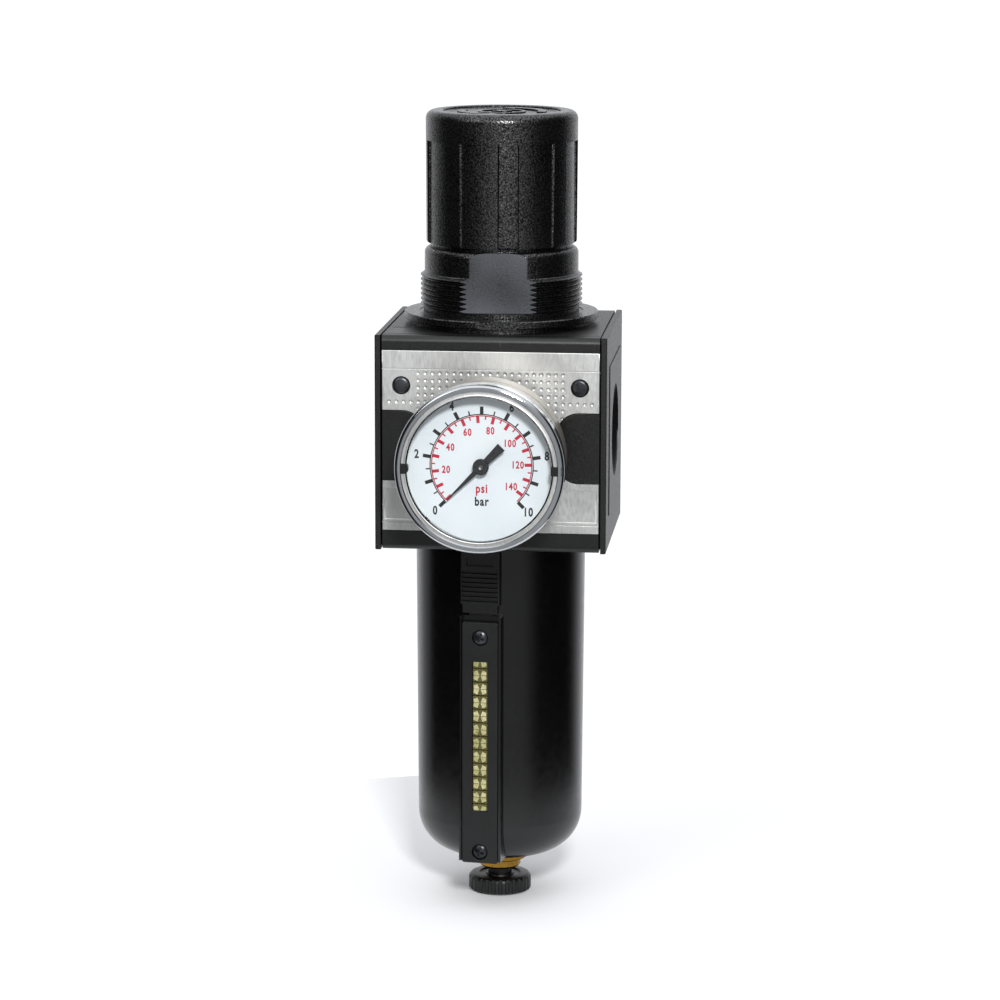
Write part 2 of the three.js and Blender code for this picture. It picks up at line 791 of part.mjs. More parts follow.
function frontCover() {
  const back = -coreFront - FACE_GAP;
  const plateBack = -halfDepth + FRONT.plate;
  const edge = FRONT.edgeRound;
  // The side view of the cover: two rounded bands with a flat panel between them.
  const profile = [
    [back, coverTopEdge],
    ...arc(-halfDepth + edge, coverTopEdge - edge, edge, 90, 180, EDGE_STEPS),
    [-halfDepth, plateTopEdge + FACE_GAP],
    [plateBack, plateTopEdge + FACE_GAP],
    [plateBack, plateBottomEdge - FACE_GAP],
    [-halfDepth, plateBottomEdge - FACE_GAP],
    ...arc(-halfDepth + edge, -coverTopEdge + edge, edge, 180, 270, EDGE_STEPS),
    [back, -coverTopEdge],
  ];
  const panel = profileAlongX(profile, -coreHalfWidth, coreHalfWidth);
  const pads = [-1, 1].map((side) =>
    slab(notchOutline(side, -SEAT_GAP, coreHalfWidth), -halfDepth + FRONT.notchSink, plateBack + OVERLAP),
  );
  const holes = [-1, 1].map((side) => pinHole(side, FRONT.pinShank + SEAT_GAP, -halfDepth, back + PAST));
  return cut(join(panel, ...pads), bossHole(-halfDepth - PAST, back + PAST), ...holes);
}

function frontPlate() {
  const front = -halfDepth;
  const back = -halfDepth + FRONT.plate - FACE_GAP;
  const sheet = block([-coreHalfWidth, coreHalfWidth], [front, back], [plateBottomEdge, plateTopEdge]);
  const through = [front - PAST, back + PAST];
  const notches = [-1, 1].map((side) => slab(notchOutline(side, 0, coreHalfWidth + PAST), ...through));
  const holes = [-1, 1].map((side) => pinHole(side, FRONT.pinRadius + SEAT_GAP, ...through));
  const panelHalf = coreHalfWidth - FRONT.panelInset;
  const panelLevels = [FRONT.panelBottom, FRONT.panelTop];
  const panel = block([-panelHalf, panelHalf], [front - PAST, front + FRONT.panelSink], panelLevels);
  return cut(sheet, bossHole(...through), ...notches, ...holes, panel);
}

function platePin(side) {
  const headBack = -halfDepth + FRONT.plate - 2 * FACE_GAP;
  const head = pinHole(side, FRONT.pinRadius, -halfDepth - FRONT.pinHeadProud, headBack);
  const shank = pinHole(side, FRONT.pinShank, -halfDepth, -coreFront - 2 * FACE_GAP);
  return join(head, shank);
}

function backCover() {
  const near = coreFront + FACE_GAP;
  const edge = FRONT.edgeRound;
  const profile = [
    [near, -coverTopEdge],
    ...arc(halfDepth - edge, -coverTopEdge + edge, edge, 270, 360, EDGE_STEPS),
    ...arc(halfDepth - edge, coverTopEdge - edge, edge, 0, 90, EDGE_STEPS),
    [near, coverTopEdge],
  ];
  const panel = profileAlongX(profile, -coreHalfWidth, coreHalfWidth);
  return cut(panel, bossHole(near - PAST, halfDepth + PAST));
}

function rearPlug() {
  const outline = [
    [0, -REAR_PLUG.shank],
    [GAUGE_PORT.radius - SEAT_GAP, -REAR_PLUG.shank],
    [GAUGE_PORT.radius - SEAT_GAP, FACE_GAP],
    [REAR_PLUG.headRadius, FACE_GAP],
    [REAR_PLUG.headRadius, REAR_PLUG.head],
    [0, REAR_PLUG.head],
  ];
  const key = hexagon(REAR_PLUG.hexFlats, REAR_PLUG.head - REAR_PLUG.hexDepth, REAR_PLUG.head + PAST);
  const plug = cut(turned(outline, MIDDLE_ROUND), key);
  return plug.rotateX(-Math.PI / 2).translate(0, boss, GAUGE_PORT.height);
}

// ---------------------------------------------------------------- bonnet

function bonnet() {
  const crest = BONNET.threadRadius;
  const rootRadius = crest - BONNET.threadDepth;
  const thread = Array.from({ length: BONNET.threadTurns }, (_, i) => {
    const z = threadBottom + i * BONNET.threadPitch;
    return [
      [rootRadius, z],
      [crest, z + BONNET.threadPitch / 2],
    ];
  }).flat();
  const round = BONNET.neckRound;
  const skirt = BONNET.boreRadius - FREE_GAP;
  const outline = [
    [chamberRadius, skirtBottom],
    [skirt, skirtBottom],
    [skirt, top],
    [BONNET.collarRadius, top],
    [BONNET.collarRadius, flangeBottom],
    [BONNET.flangeRadius, flangeBottom],
    [BONNET.flangeRadius, flangeTop],
    [crest + FREE_GAP, flangeTop],
    [crest + FREE_GAP, flangeTop - BONNET.undercut],
    [rootRadius, flangeTop - BONNET.undercut],
    ...thread,
    [rootRadius, threadTop],
    [BONNET.neckRadius, threadTop + BONNET.threadRunout],
    ...arc(BONNET.neckRadius - round, shoulder - round, round, 0, 90, EDGE_STEPS),
    [BONNET.towerRadius, shoulder],
    [BONNET.towerRadius, towerTop],
    [SPINDLE.shaftRadius + RUNNING_GAP, towerTop],
    [SPINDLE.shaftRadius + RUNNING_GAP, springRoof],
    [chamberRadius, springRoof],
  ];
  const far = 2 * BONNET.flangeRadius;
  const pairOfFlats = (distance, levels) =>
    [0, 180].map((angle) => turnedTo(block([-far, far], [distance, far], levels), angle));
  const flats = pairOfFlats(BONNET.flatDistance, [flangeTop + BONNET.flatLift, shoulder + PAST]);
  const flangeFlats = pairOfFlats(BONNET.flangeFlat, [flangeBottom - PAST, flangeTop + PAST]);
  const keyway = block(
    [-chamberRadius - BONNET.keyDepth, chamberRadius + BONNET.keyDepth],
    [-BONNET.keyWidth / 2, BONNET.keyWidth / 2],
    [skirtBottom - PAST, springRoof],
  );
  const slots = Array.from({ length: BONNET.lockSlots }, (_, i) => {
    const half = BONNET.lockSlotWidth / 2;
    const depth = [BONNET.towerRadius - BONNET.lockSlotDepth, BONNET.towerRadius + PAST];
    const slot = block(depth, [-half, half], [towerTop - BONNET.lockHeight, towerTop + PAST]);
    return turnedTo(slot, (i * 360) / BONNET.lockSlots);
  });
  return cut(turned(outline, LARGE_ROUND), ...flats, ...flangeFlats, keyway, ...slots);
}

// ---------------------------------------------------------------- knob, spindle and spring

function knob() {
  const inner = KNOB.footRadius - KNOB.wall;
  const { edgeRound, footRound } = KNOB;
  const outline = [
    [inner, knobFoot],
    ...arc(KNOB.footRadius - footRound, knobFoot + footRound, footRound, 270, 360, EDGE_STEPS),
    ...arc(KNOB.radius - edgeRound, knobTop - edgeRound, edgeRound, 0, 90, WIDE_STEPS),
    [KNOB.capRadius, knobTop],
    [KNOB.capRadius, knobTop - KNOB.capRecess],
    [0, knobTop - KNOB.capRecess],
    [0, hubFoot],
    [KNOB.hubRadius, hubFoot],
    [KNOB.hubRadius, knobRoof],
    [inner, knobRoof],
  ];
  const panelTop = knobTop - KNOB.topBand;
  const span = 360 / KNOB.ribs - KNOB.ribAngle;
  const panels = Array.from({ length: KNOB.ribs }, (_, i) => {
    const middle = -90 + ((i + 0.5) * 360) / KNOB.ribs;
    const reach = [KNOB.radius - KNOB.panelSink, KNOB.radius + PAST];
    return sector(...reach, knobFoot - PAST, panelTop, middle, span, WIDE_STEPS);
  });
  const toothReach = [BONNET.towerRadius + SEAT_GAP, inner + PAST];
  const toothLevels = [towerTop - BONNET.lockHeight + KNOB.toothInset, towerTop - KNOB.toothInset];
  const teeth = Array.from({ length: KNOB.lockTeeth }, (_, i) => {
    const middle = ((i + 0.5) * 360) / KNOB.lockTeeth;
    return sector(...toothReach, ...toothLevels, middle, KNOB.toothAngle, 1);
  });
  const socket = hexagon(SPINDLE.hexFlats + 2 * SEAT_GAP, hubFoot - PAST, knobRoof + KNOB.socketDepth);
  return join(cut(turned(outline, LARGE_ROUND), ...panels, socket), ...teeth);
}

function knobCap() {
  const floor = knobTop - KNOB.capRecess + FACE_GAP;
  return disc(KNOB.capRadius - SEAT_GAP, floor, floor + KNOB.capThickness, LARGE_ROUND);
}

function adjustingSpindle() {
  const outline = [
    [0, collarBottom - SPINDLE.threadLength],
    [SPINDLE.threadRadius, collarBottom - SPINDLE.threadLength],
    [SPINDLE.threadRadius, collarBottom],
    [SPINDLE.collarRadius, collarBottom],
    [SPINDLE.collarRadius, collarTop],
    [SPINDLE.shaftRadius, collarTop],
    [SPINDLE.shaftRadius, towerTop + FREE_GAP],
    [0, towerTop + FREE_GAP],
  ];
  const head = hexagon(SPINDLE.hexFlats, towerTop, knobRoof - SPINDLE.headGap);
  return join(turned(outline, MIDDLE_ROUND), head);
}

function thrustWasher() {
  const levels = [collarTop + FACE_GAP, springRoof - FACE_GAP];
  return ring(SPINDLE.shaftRadius + SEAT_GAP, SPINDLE.collarRadius, ...levels, MIDDLE_ROUND);
}

function springNut() {
  const hole = SPINDLE.threadRadius + SEAT_GAP;
  const plain = ring(hole, Math.min(NUT.radius, chamberRadius - FREE_GAP), nutBottom, nutTop, MIDDLE_ROUND);
  const reach = chamberRadius + BONNET.keyDepth - FREE_GAP;
  const half = BONNET.keyWidth / 2 - FREE_GAP;
  const keys = [-1, 1].map((side) => {
    const key = block([NUT.radius - PAST, reach], [-half, half], [nutBottom, nutTop]);
    return key.rotateZ(side > 0 ? 0 : Math.PI);
  });
  return join(plain, ...keys);
}

function rangeSpring() {
  return coil(RANGE_SPRING, plateTop, nutBottom);
}

// ---------------------------------------------------------------- diaphragm and valve

const diaphragmRadius = BONNET.boreRadius - FREE_GAP;

function diaphragm() {
  return ring(DIAPHRAGM.hole, diaphragmRadius, ledge + FACE_GAP, diaphragmTop, LARGE_ROUND);
}

function slipRing() {
  const inner = diaphragmRadius - DIAPHRAGM.ringWidth;
  return ring(inner, diaphragmRadius, ringBottom, ringBottom + DIAPHRAGM.ring, LARGE_ROUND);
}

function diaphragmPlate() {
  const spigot = DIAPHRAGM.hole - SEAT_GAP;
  return turned(
    [
      [DIAPHRAGM.vent, reliefBottom],
      [spigot, reliefBottom],
      [spigot, diaphragmTop + FACE_GAP],
      [DIAPHRAGM.plateRadius, diaphragmTop + FACE_GAP],
      [DIAPHRAGM.plateRadius, plateTop],
      [DIAPHRAGM.bossRadius, plateTop],
      [DIAPHRAGM.bossRadius - DIAPHRAGM.bossTaper, plateTop + DIAPHRAGM.boss],
      [DIAPHRAGM.vent, plateTop + DIAPHRAGM.boss],
    ],
    MIDDLE_ROUND,
  );
}

function reliefSeat() {
  return ring(DIAPHRAGM.hole, DIAPHRAGM.seatRadius, reliefBottom, ledge, MIDDLE_ROUND);
}

function valvePoppet() {
  return turned(
    [
      [0, discBottom - VALVE.tail],
      [VALVE.tailRadius, discBottom - VALVE.tail],
      [VALVE.tailRadius, discBottom],
      [VALVE.radius, discBottom],
      [VALVE.radius, discTop],
      [VALVE.boss, discTop],
      [VALVE.boss, sealTop],
      [VALVE.stemRadius, sealTop],
      [VALVE.stemRadius, reliefBottom - FACE_GAP],
      [0, reliefBottom - FACE_GAP],
    ],
    MIDDLE_ROUND,
  );
}

function poppetSeal() {
  return ring(VALVE.sealInner, VALVE.radius, discTop + FACE_GAP, sealTop, MIDDLE_ROUND);
}

function valveSpring() {
  return coil(VALVE_SPRING, carrierTop, discBottom);
}

// Screwed into the middle tube from below: guides the poppet and carries the filter on its stud.
function valveCarrier() {
  const guide = VALVE.tailRadius + RUNNING_GAP;
  const outline = [
    [0, filterNutBottom + CARRIER.studInset],
    [CARRIER.studRadius, filterNutBottom + CARRIER.studInset],
    [CARRIER.studRadius, carrierFlange],
    [CARRIER.flangeRadius, carrierFlange],
    [CARRIER.flangeRadius, tubeEnd - FACE_GAP],
    [VALVE.chamber - SEAT_GAP, tubeEnd - FACE_GAP],
    [VALVE.chamber - SEAT_GAP, carrierTop],
    [guide, carrierTop],
    [guide, carrierTop - CARRIER.boreDepth],
    [0, carrierTop - CARRIER.boreDepth],
  ];
  const holes = Array.from({ length: CARRIER.airHoles }, (_, i) => {
    const hole = disc(CARRIER.airHole, carrierFlange - PAST, carrierTop + PAST, SMALL_ROUND);
    return turnedTo(hole.translate(CARRIER.airCircle, 0, 0), ((i + 0.5) * 360) / CARRIER.airHoles);
  });
  return cut(turned(outline, LARGE_ROUND), ...holes);
}

function swirlDeflector() {
  const hubLevels = [deflectorBottom, carrierFlange - FACE_GAP];
  const hub = ring(DEFLECTOR.hubInner, DEFLECTOR.hubOuter, ...hubLevels, LARGE_ROUND);
  const rimBottom = deflectorBottom + DEFLECTOR.rimLift;
  const rimInner = DEFLECTOR.outer - DEFLECTOR.rim;
  const rim = ring(rimInner, DEFLECTOR.outer, rimBottom, rimBottom + DEFLECTOR.rimHeight, LARGE_ROUND);
  const reach = DEFLECTOR.outer - DEFLECTOR.hubOuter;
  const middle = (DEFLECTOR.outer + DEFLECTOR.hubOuter) / 2 - DEFLECTOR.rim / 2;
  const vanes = Array.from({ length: DEFLECTOR.vanes }, (_, i) => {
    const vane = new THREE.BoxGeometry(reach, DEFLECTOR.vane, DEFLECTOR.vaneHeight);
    vane.rotateX(THREE.MathUtils.degToRad(DEFLECTOR.tilt));
    vane.translate(middle, 0, rimBottom + DEFLECTOR.rimHeight / 2);
    return turnedTo(vane, (i * 360) / DEFLECTOR.vanes);
  });
  return join(hub, rim, ...vanes);
}

function filterElement() {
  return ring(FILTER.inner, FILTER.outer, filterBottom, filterTop, LARGE_ROUND);
}

function baffle() {
  const hole = CARRIER.studRadius + SEAT_GAP;
  const face = filterBottom - FACE_GAP;
  return turned(
    [
      [hole, baffleBottom],
      [BAFFLE.radius - BAFFLE.bevel, baffleBottom],
      [BAFFLE.radius, face - 2 * BAFFLE.lip],
      [BAFFLE.radius, face - BAFFLE.lip],
      [FILTER.outer, face],
      [hole, face],
    ],
    LARGE_ROUND,
  );
}

function filterNut() {
  const hole = CARRIER.studRadius + SEAT_GAP;
  return ring(hole, FILTER_NUT.radius, filterNutBottom, filterNutTop, FILTER_NUT.flats);
}

// ---------------------------------------------------------------- bowl

function bowlWalls() {
  const neckTop = bowlTop + BOWL.neckHeight;
  const foot = BOWL.radius - BOWL.taper;
  const round = BOWL.bottomRound;
  const ringTop = neckTop - BOWL_RING.drop + BOWL_RING.grooveWidth / 2;
  const outside = turned(
    [
      [0, bossBottom],
      [BOWL.bossFoot, bossBottom],
      [BOWL.bossRadius, bowlBottom - BOWL.bossEdge],
      [BOWL.bossRadius, bowlBottom],
      ...arc(foot - round, bowlStraightEnd, round, 270, 360, BOWL.roundSteps),
      [BOWL.radius, bowlTop],
      [BOWL.neckRadius, bowlTop],
      [BOWL.neckRadius, ringTop - BOWL_RING.grooveWidth],
      [BOWL_RING.grooveRadius, ringTop - BOWL_RING.grooveWidth],
      [BOWL_RING.grooveRadius, ringTop],
      [BOWL.neckRadius, ringTop],
      [BOWL.neckRadius, neckTop],
      [0, neckTop],
    ],
    LARGE_ROUND,
  );
  const innerRound = round - BOWL.wall;
  const inside = turned(
    [
      [0, bossBottom - PAST],
      [BOWL.drainHole, bossBottom - PAST],
      [BOWL.drainHole, bowlBottom + BOWL.wall],
      ...arc(foot - round, bowlStraightEnd, innerRound, 270, 360, EDGE_STEPS),
      [BOWL.radius - BOWL.wall, bowlTop - BOWL.neckSlope],
      [BOWL.neckInner, bowlTop],
      [BOWL.neckInner, neckTop + PAST],
      [0, neckTop + PAST],
    ],
    LARGE_ROUND,
  );
  return { outside, inside };
}

const glassTop = windowTop + GLASS.overlap;
const glassBottom = windowBottom - GLASS.overlap;
const slotTop = windowTop + GLASS.slotOverlap;
const slotBottom = windowBottom - GLASS.slotOverlap;
const pocketFloor = ribFloor - GLASS.flange - GLASS.gasket - 2 * FACE_GAP;
const screwLevels = [coverTop - COVER.screwInset, coverBottom + COVER.screwFoot];

// A short cylinder along Y on the rib's middle line.
function rod(radius, y0, y1, z) {
  return slab(circle(0, z, radius, SMALL_ROUND), y0, y1);
}

function bowl() {
  const { outside, inside } = bowlWalls();
  const rib = block([-RIB.halfWidth, RIB.halfWidth], [-ribFront, -ribRoot], [ribBottom, ribTop]);
  const railLevels = [ribTop - PAST, bowlTop - RAIL.top];
  const rail = block([-RAIL.halfWidth, RAIL.halfWidth], [-railFront, -ribRoot], railLevels);
  const lugBottom = bottom + SOCKET.grooveDrop + LUGS.lift;
  const lugLevels = [lugBottom, lugBottom + LUGS.height];
  const lugs = Array.from({ length: LUGS.count }, (_, i) => {
    const middle = (i * 360) / LUGS.count;
    return sector(BOWL.neckRadius - PAST, LUGS.radius, ...lugLevels, middle, LUGS.angle, EDGE_STEPS);
  });
  const channelHalf = RIB.halfWidth - RIB.wall;
  const channelLevels = [ribBottom - PAST, ribTop + PAST];
  const channel = block([-channelHalf, channelHalf], [-ribFront - PAST, -ribFloor], channelLevels);
  const pocketHalf = GLASS.halfWidth + SEAT_GAP;
  const pocketLevels = [glassBottom - SEAT_GAP, glassTop + SEAT_GAP];
  const pocket = block([-pocketHalf, pocketHalf], [-ribFloor - PAST, -pocketFloor], pocketLevels);
  const slotHalf = GLASS.slotHalfWidth;
  const slot = block([-slotHalf, slotHalf], [-ribFloor, -ribRoot + 2 * PAST], [slotBottom, slotTop]);
  const springSlot = block(
    [-RAIL.slotHalfWidth, RAIL.slotHalfWidth],
    [-railFront - PAST, -railFront + RAIL.slotDepth],
    [bowlTop - RAIL.slotBottom, bowlTop - RAIL.slotTop],
  );
  const screwEnd = -ribFront + SCREW.head + SCREW.length + FREE_GAP;
  const screwHoles = screwLevels.map((z) => rod(SCREW.radius + SEAT_GAP, -ribFront, screwEnd, z));
  return cut(join(outside, rib, rail, ...lugs), inside, channel, pocket, slot, springSlot, ...screwHoles);
}

function bowlRing() {
  const z = bowlTop + BOWL.neckHeight - BOWL_RING.drop;
  const torus = new THREE.TorusGeometry(BOWL_RING.stretch, BOWL_RING.section, RING_SIDES, LARGE_ROUND);
  return torus.translate(0, 0, z);
}

function bowlLatch() {
  const front = -ribFront;
  const back = front + LATCH.thickness;
  const latchTop = bowlTop - LATCH.top;
  const latchBottom = bowlTop - LATCH.bottom;
  const footTop = latchBottom + LATCH.footHeight;
  const plate = slab(
    [
      [-LATCH.footHalfWidth, latchBottom],
      [LATCH.footHalfWidth, latchBottom],
      [LATCH.footHalfWidth, footTop],
      [LATCH.halfWidth, footTop],
      [LATCH.halfWidth, latchTop],
      [-LATCH.halfWidth, latchTop],
      [-LATCH.halfWidth, footTop],
      [-LATCH.footHalfWidth, footTop],
    ],
    front,
    back,
  );
  const skirts = [-1, 1].map((side) => {
    const reach = [side * (LATCH.halfWidth - LATCH.skirt), side * LATCH.halfWidth].sort((a, b) => a - b);
    return block(reach, [back - OVERLAP, back + LATCH.skirtDepth], [footTop, latchTop]);
  });
  const lugTop = bowlTop - LATCH.lugTop - FREE_GAP / 2;
  const lug = block(
    [-LATCH.lugHalfWidth, LATCH.lugHalfWidth],
    [back - OVERLAP, -railFront + RAIL.slotDepth - FREE_GAP],
    [lugTop - LATCH.lugHeight, lugTop],
  );
  const sink = [front - PAST, front + LATCH.grooveDepth];
  const across = [-LATCH.halfWidth - PAST, LATCH.halfWidth + PAST];
  const grooves = Array.from({ length: LATCH.grooves }, (_, i) => {
    const z = latchTop - LATCH.firstGroove - i * LATCH.groovePitch;
    return block(across, sink, [z - LATCH.grooveHeight, z]);
  });
  const windowZ = latchTop - LATCH.windowTop;
  const recessWidth = [-LATCH.windowHalfWidth, LATCH.windowHalfWidth];
  const recess = block(recessWidth, sink, [windowZ - LATCH.windowHeight, windowZ]);
  return cut(join(plate, ...skirts, lug), ...grooves, recess);
}

function latchSpring() {
  const z0 = bowlTop - RAIL.slotBottom;
  const z1 = bowlTop - LATCH.lugTop - FREE_GAP / 2 - LATCH.lugHeight;
  return coil(LATCH_SPRING, z0, z1).translate(0, -railFront + RAIL.slotDepth / 2, 0);
}

function sightGlass() {
  const back = -pocketFloor - GLASS.gasket - FACE_GAP;
  const width = [-GLASS.halfWidth, GLASS.halfWidth];
  const flange = block(width, [-ribFloor + FACE_GAP, back], [glassBottom, glassTop]);
  const half = WINDOW.halfWidth - WINDOW.glassGap;
  const front = block(
    [-half, half],
    [-ribFront + GLASS.sink, -ribFloor + OVERLAP],
    [windowBottom + WINDOW.glassGap, windowTop - WINDOW.glassGap],
  );
  return join(flange, front);
}

function sightGasket() {
  const width = [-GLASS.halfWidth, GLASS.halfWidth];
  const depth = [-pocketFloor - GLASS.gasket, -pocketFloor - FACE_GAP];
  const outer = block(width, depth, [glassBottom, glassTop]);
  const inner = block([-GLASS.slotHalfWidth, GLASS.slotHalfWidth], [-ribFront, 0], [slotBottom, slotTop]);
  return cut(outer, inner);
}

function sightCover() {
  const half = RIB.halfWidth - RIB.wall - SEAT_GAP;
  const sheet = block([-half, half], [-ribFront, -ribFront + COVER.thickness], [coverBottom, coverTop]);
  const width = [-WINDOW.halfWidth, WINDOW.halfWidth];
  const opening = block(width, [-ribFront - PAST, 0], [windowBottom, windowTop]);
  const holes = screwLevels.flatMap((z) => [
    rod(SCREW.radius + SEAT_GAP, -ribFront - PAST, 0, z),
    rod(SCREW.headRadius + SEAT_GAP, -ribFront - PAST, -ribFront + SCREW.head, z),
  ]);
  return cut(sheet, opening, ...holes);
}

function coverScrew(z) {
  const { arm, slit } = SCREW;
  const crown = -ribFront - SCREW.crown;
  const seat = -ribFront + SCREW.head - FACE_GAP;
  const head = rod(SCREW.headRadius, crown, seat, z);
  const shank = rod(SCREW.radius, crown + OVERLAP, seat + SCREW.length, z);
  const depth = [crown - PAST, crown + SCREW.slitDepth];
  return cut(
    join(head, shank),
    block([-arm, arm], depth, [z - slit, z + slit]),
    block([-slit, slit], depth, [z - arm, z + arm]),
  );
}

// ---------------------------------------------------------------- drain

const drainTop = bossBottom - FACE_GAP;
const flangeFoot = drainTop - DRAIN.flange;
const nutFoot = flangeFoot - DRAIN.nut;
const throatBottom = drainTop + DRAIN.boreTop;
const drainSeat = drainTop + DRAIN.shank + DRAIN.collar;
const wheelTop = nutFoot - DRAIN.wheelGap;
const wheelBottom = wheelTop - DRAIN.wheel;

function drainBody() {
  return turned(
    [
      [DRAIN.bore, nutFoot],
      [DRAIN.nutRadius - DRAIN.chamfer, nutFoot],
      [DRAIN.nutRadius, nutFoot + DRAIN.chamfer],
      [DRAIN.nutRadius, flangeFoot],
      [DRAIN.flangeRadius, flangeFoot],
      [DRAIN.flangeRadius, drainTop],
      [DRAIN.shankRadius, drainTop],
      [DRAIN.shankRadius, drainTop + DRAIN.shank],
      [DRAIN.collarRadius, drainTop + DRAIN.shank],
      [DRAIN.collarRadius, drainSeat],
      [DRAIN.throat, drainSeat],
      [DRAIN.throat, throatBottom],
      [DRAIN.bore, throatBottom],
    ],
    MIDDLE_ROUND,
  );
}

const stemShoulder = throatBottom - DRAIN.travel - 2 * DRAIN_SPRING.wire;

function drainStem() {
  const seal = drainSeat + DRAIN.seal + 2 * FACE_GAP;
  const outline = [
    [0, wheelBottom + FREE_GAP],
    [DRAIN.hub, wheelBottom + FREE_GAP],
    [DRAIN.hub, wheelTop + FACE_GAP],
    [DRAIN.stemRadius, wheelTop + FACE_GAP],
    [DRAIN.stemRadius, stemShoulder],
    [DRAIN.pinRadius, stemShoulder],
    [DRAIN.pinRadius, seal],
    [DRAIN.headRadius, seal],
    [DRAIN.headRadius, seal + DRAIN.head],
    [0, seal + DRAIN.head],
  ];
  const ventTop = drainSeat - DRAIN.ventStop;
  const vent = disc(DRAIN.vent, wheelBottom - PAST, ventTop, POST_ROUND);
  const crossTop = ventTop - DRAIN.crossStop;
  const reach = DRAIN.pinRadius + PAST;
  const half = DRAIN.vent / 2;
  const cross = block([-reach, reach], [-half, half], [crossTop - DRAIN.crossHole, crossTop]);
  return cut(turned(outline, MIDDLE_ROUND), vent, cross);
}

function drainSeal() {
  const z = drainSeat + FACE_GAP;
  return ring(DRAIN.pinRadius + FACE_GAP, DRAIN.sealRadius, z, z + DRAIN.seal, MIDDLE_ROUND);
}

function drainSpring() {
  return coil(DRAIN_SPRING, stemShoulder, throatBottom);
}

function drainWheel() {
  const pitch = 360 / DRAIN.flutes;
  const land = (DRAIN.land / 2) * pitch;
  const outline = Array.from({ length: DRAIN.flutes }, (_, i) => [
    ...arc(0, 0, DRAIN.wheelRadius, i * pitch - land, i * pitch + land, 1),
    ...arc(0, 0, DRAIN.wheelRadius - DRAIN.fluteDepth, (i + 0.5) * pitch, (i + 0.5) * pitch, 0),
  ]).flat();
  const hole = disc(DRAIN.hub + RUNNING_GAP, wheelBottom - PAST, wheelTop + PAST, MIDDLE_ROUND);
  return cut(prism(outline, wheelBottom, wheelTop), hole);
}

// ---------------------------------------------------------------- gauge, built facing +Z and laid over

const gearLevel = bezelFront - GAUGE.pitchLine;
const plateLevel = bezelFront - GAUGE.plateSink;
const blockTop = caseBack + GAUGE.caseWall + FACE_GAP + GAUGE.block;
const pivotDistance = GAUGE.pinion + GAUGE.sector + GAUGE.meshGap;
const sectorRatio = GAUGE.pinion / GAUGE.sector;

function gaugeSocket() {
  const half = GAUGE.square / 2;
  const shank = disc(GAUGE.shankRadius, boss - GAUGE.shankLength, squareFront, MIDDLE_ROUND);
  const square = block([-half, half], [-half, half], [boss + FACE_GAP, squareFront]);
  const neck = disc(GAUGE.neckRadius, squareFront - PAST, caseBack + GAUGE.caseWall + PAST, SMALL_ROUND);
  const arm = GAUGE.tubeRadius + GAUGE.tubeHalfWidth;
  const inner = block(
    [-GAUGE.blockHalfWidth, GAUGE.blockHalfWidth],
    [-arm, GAUGE.blockHalfWidth],
    [blockTop - GAUGE.block, blockTop],
  );
  const boreFoot = boss - GAUGE.shankLength - PAST;
  const bore = disc(GAUGE_PORT.feed, boreFoot, blockTop - GAUGE.boreStop, SMALL_ROUND);
  return cut(join(shank, square, neck, inner), bore);
}

function gaugeCase() {
  const rim = caseBack + GAUGE.caseDepth;
  const outer = GAUGE.caseRadius;
  const inner = outer - GAUGE.caseWall;
  const hole = GAUGE.neckRadius + SEAT_GAP;
  return turned(
    [
      [hole, caseBack],
      ...arc(outer - GAUGE.caseRound, caseBack + GAUGE.caseRound, GAUGE.caseRound, 270, 360, EDGE_STEPS),
      [outer, rim],
      [inner, rim],
      [inner, caseBack + GAUGE.caseWall],
      [hole, caseBack + GAUGE.caseWall],
    ],
    LARGE_ROUND,
  );
}

function gaugeBezel() {
  const rear = bezelFront - GAUGE.bezelDepth;
  const windowBack = bezelFront - GAUGE.windowSink - GAUGE.window - FACE_GAP;
  const round = GAUGE.bezelRound;
  return turned(
    [
      [GAUGE.caseRadius + SEAT_GAP, rear],
      [GAUGE.bezelRadius, rear],
      ...arc(GAUGE.bezelRadius - round, bezelFront - round, round, 0, 90, EDGE_STEPS),
      [GAUGE.bezelInner + GAUGE.lipWidth, bezelFront],
      [GAUGE.bezelInner, bezelFront - GAUGE.lipDepth],
      [GAUGE.bezelInner, bezelFront - GAUGE.windowSink],
      [GAUGE.bezelStep, bezelFront - GAUGE.windowSink],
      [GAUGE.bezelStep, windowBack],
      [GAUGE.caseRadius + SEAT_GAP, windowBack],
    ],
    LARGE_ROUND,
  );
}

function gaugeWindow() {
  const front = bezelFront - GAUGE.windowSink - FACE_GAP;
  return disc(GAUGE.bezelStep - SEAT_GAP, front - GAUGE.window, front, LARGE_ROUND);
}

function gaugeDial() {
  const face = bezelFront - GAUGE.dialSink;
  const radius = GAUGE.caseRadius - GAUGE.caseWall - SEAT_GAP;
  return ring(GAUGE.arbor + FREE_GAP, radius, face - GAUGE.dial, face, LARGE_ROUND);
}

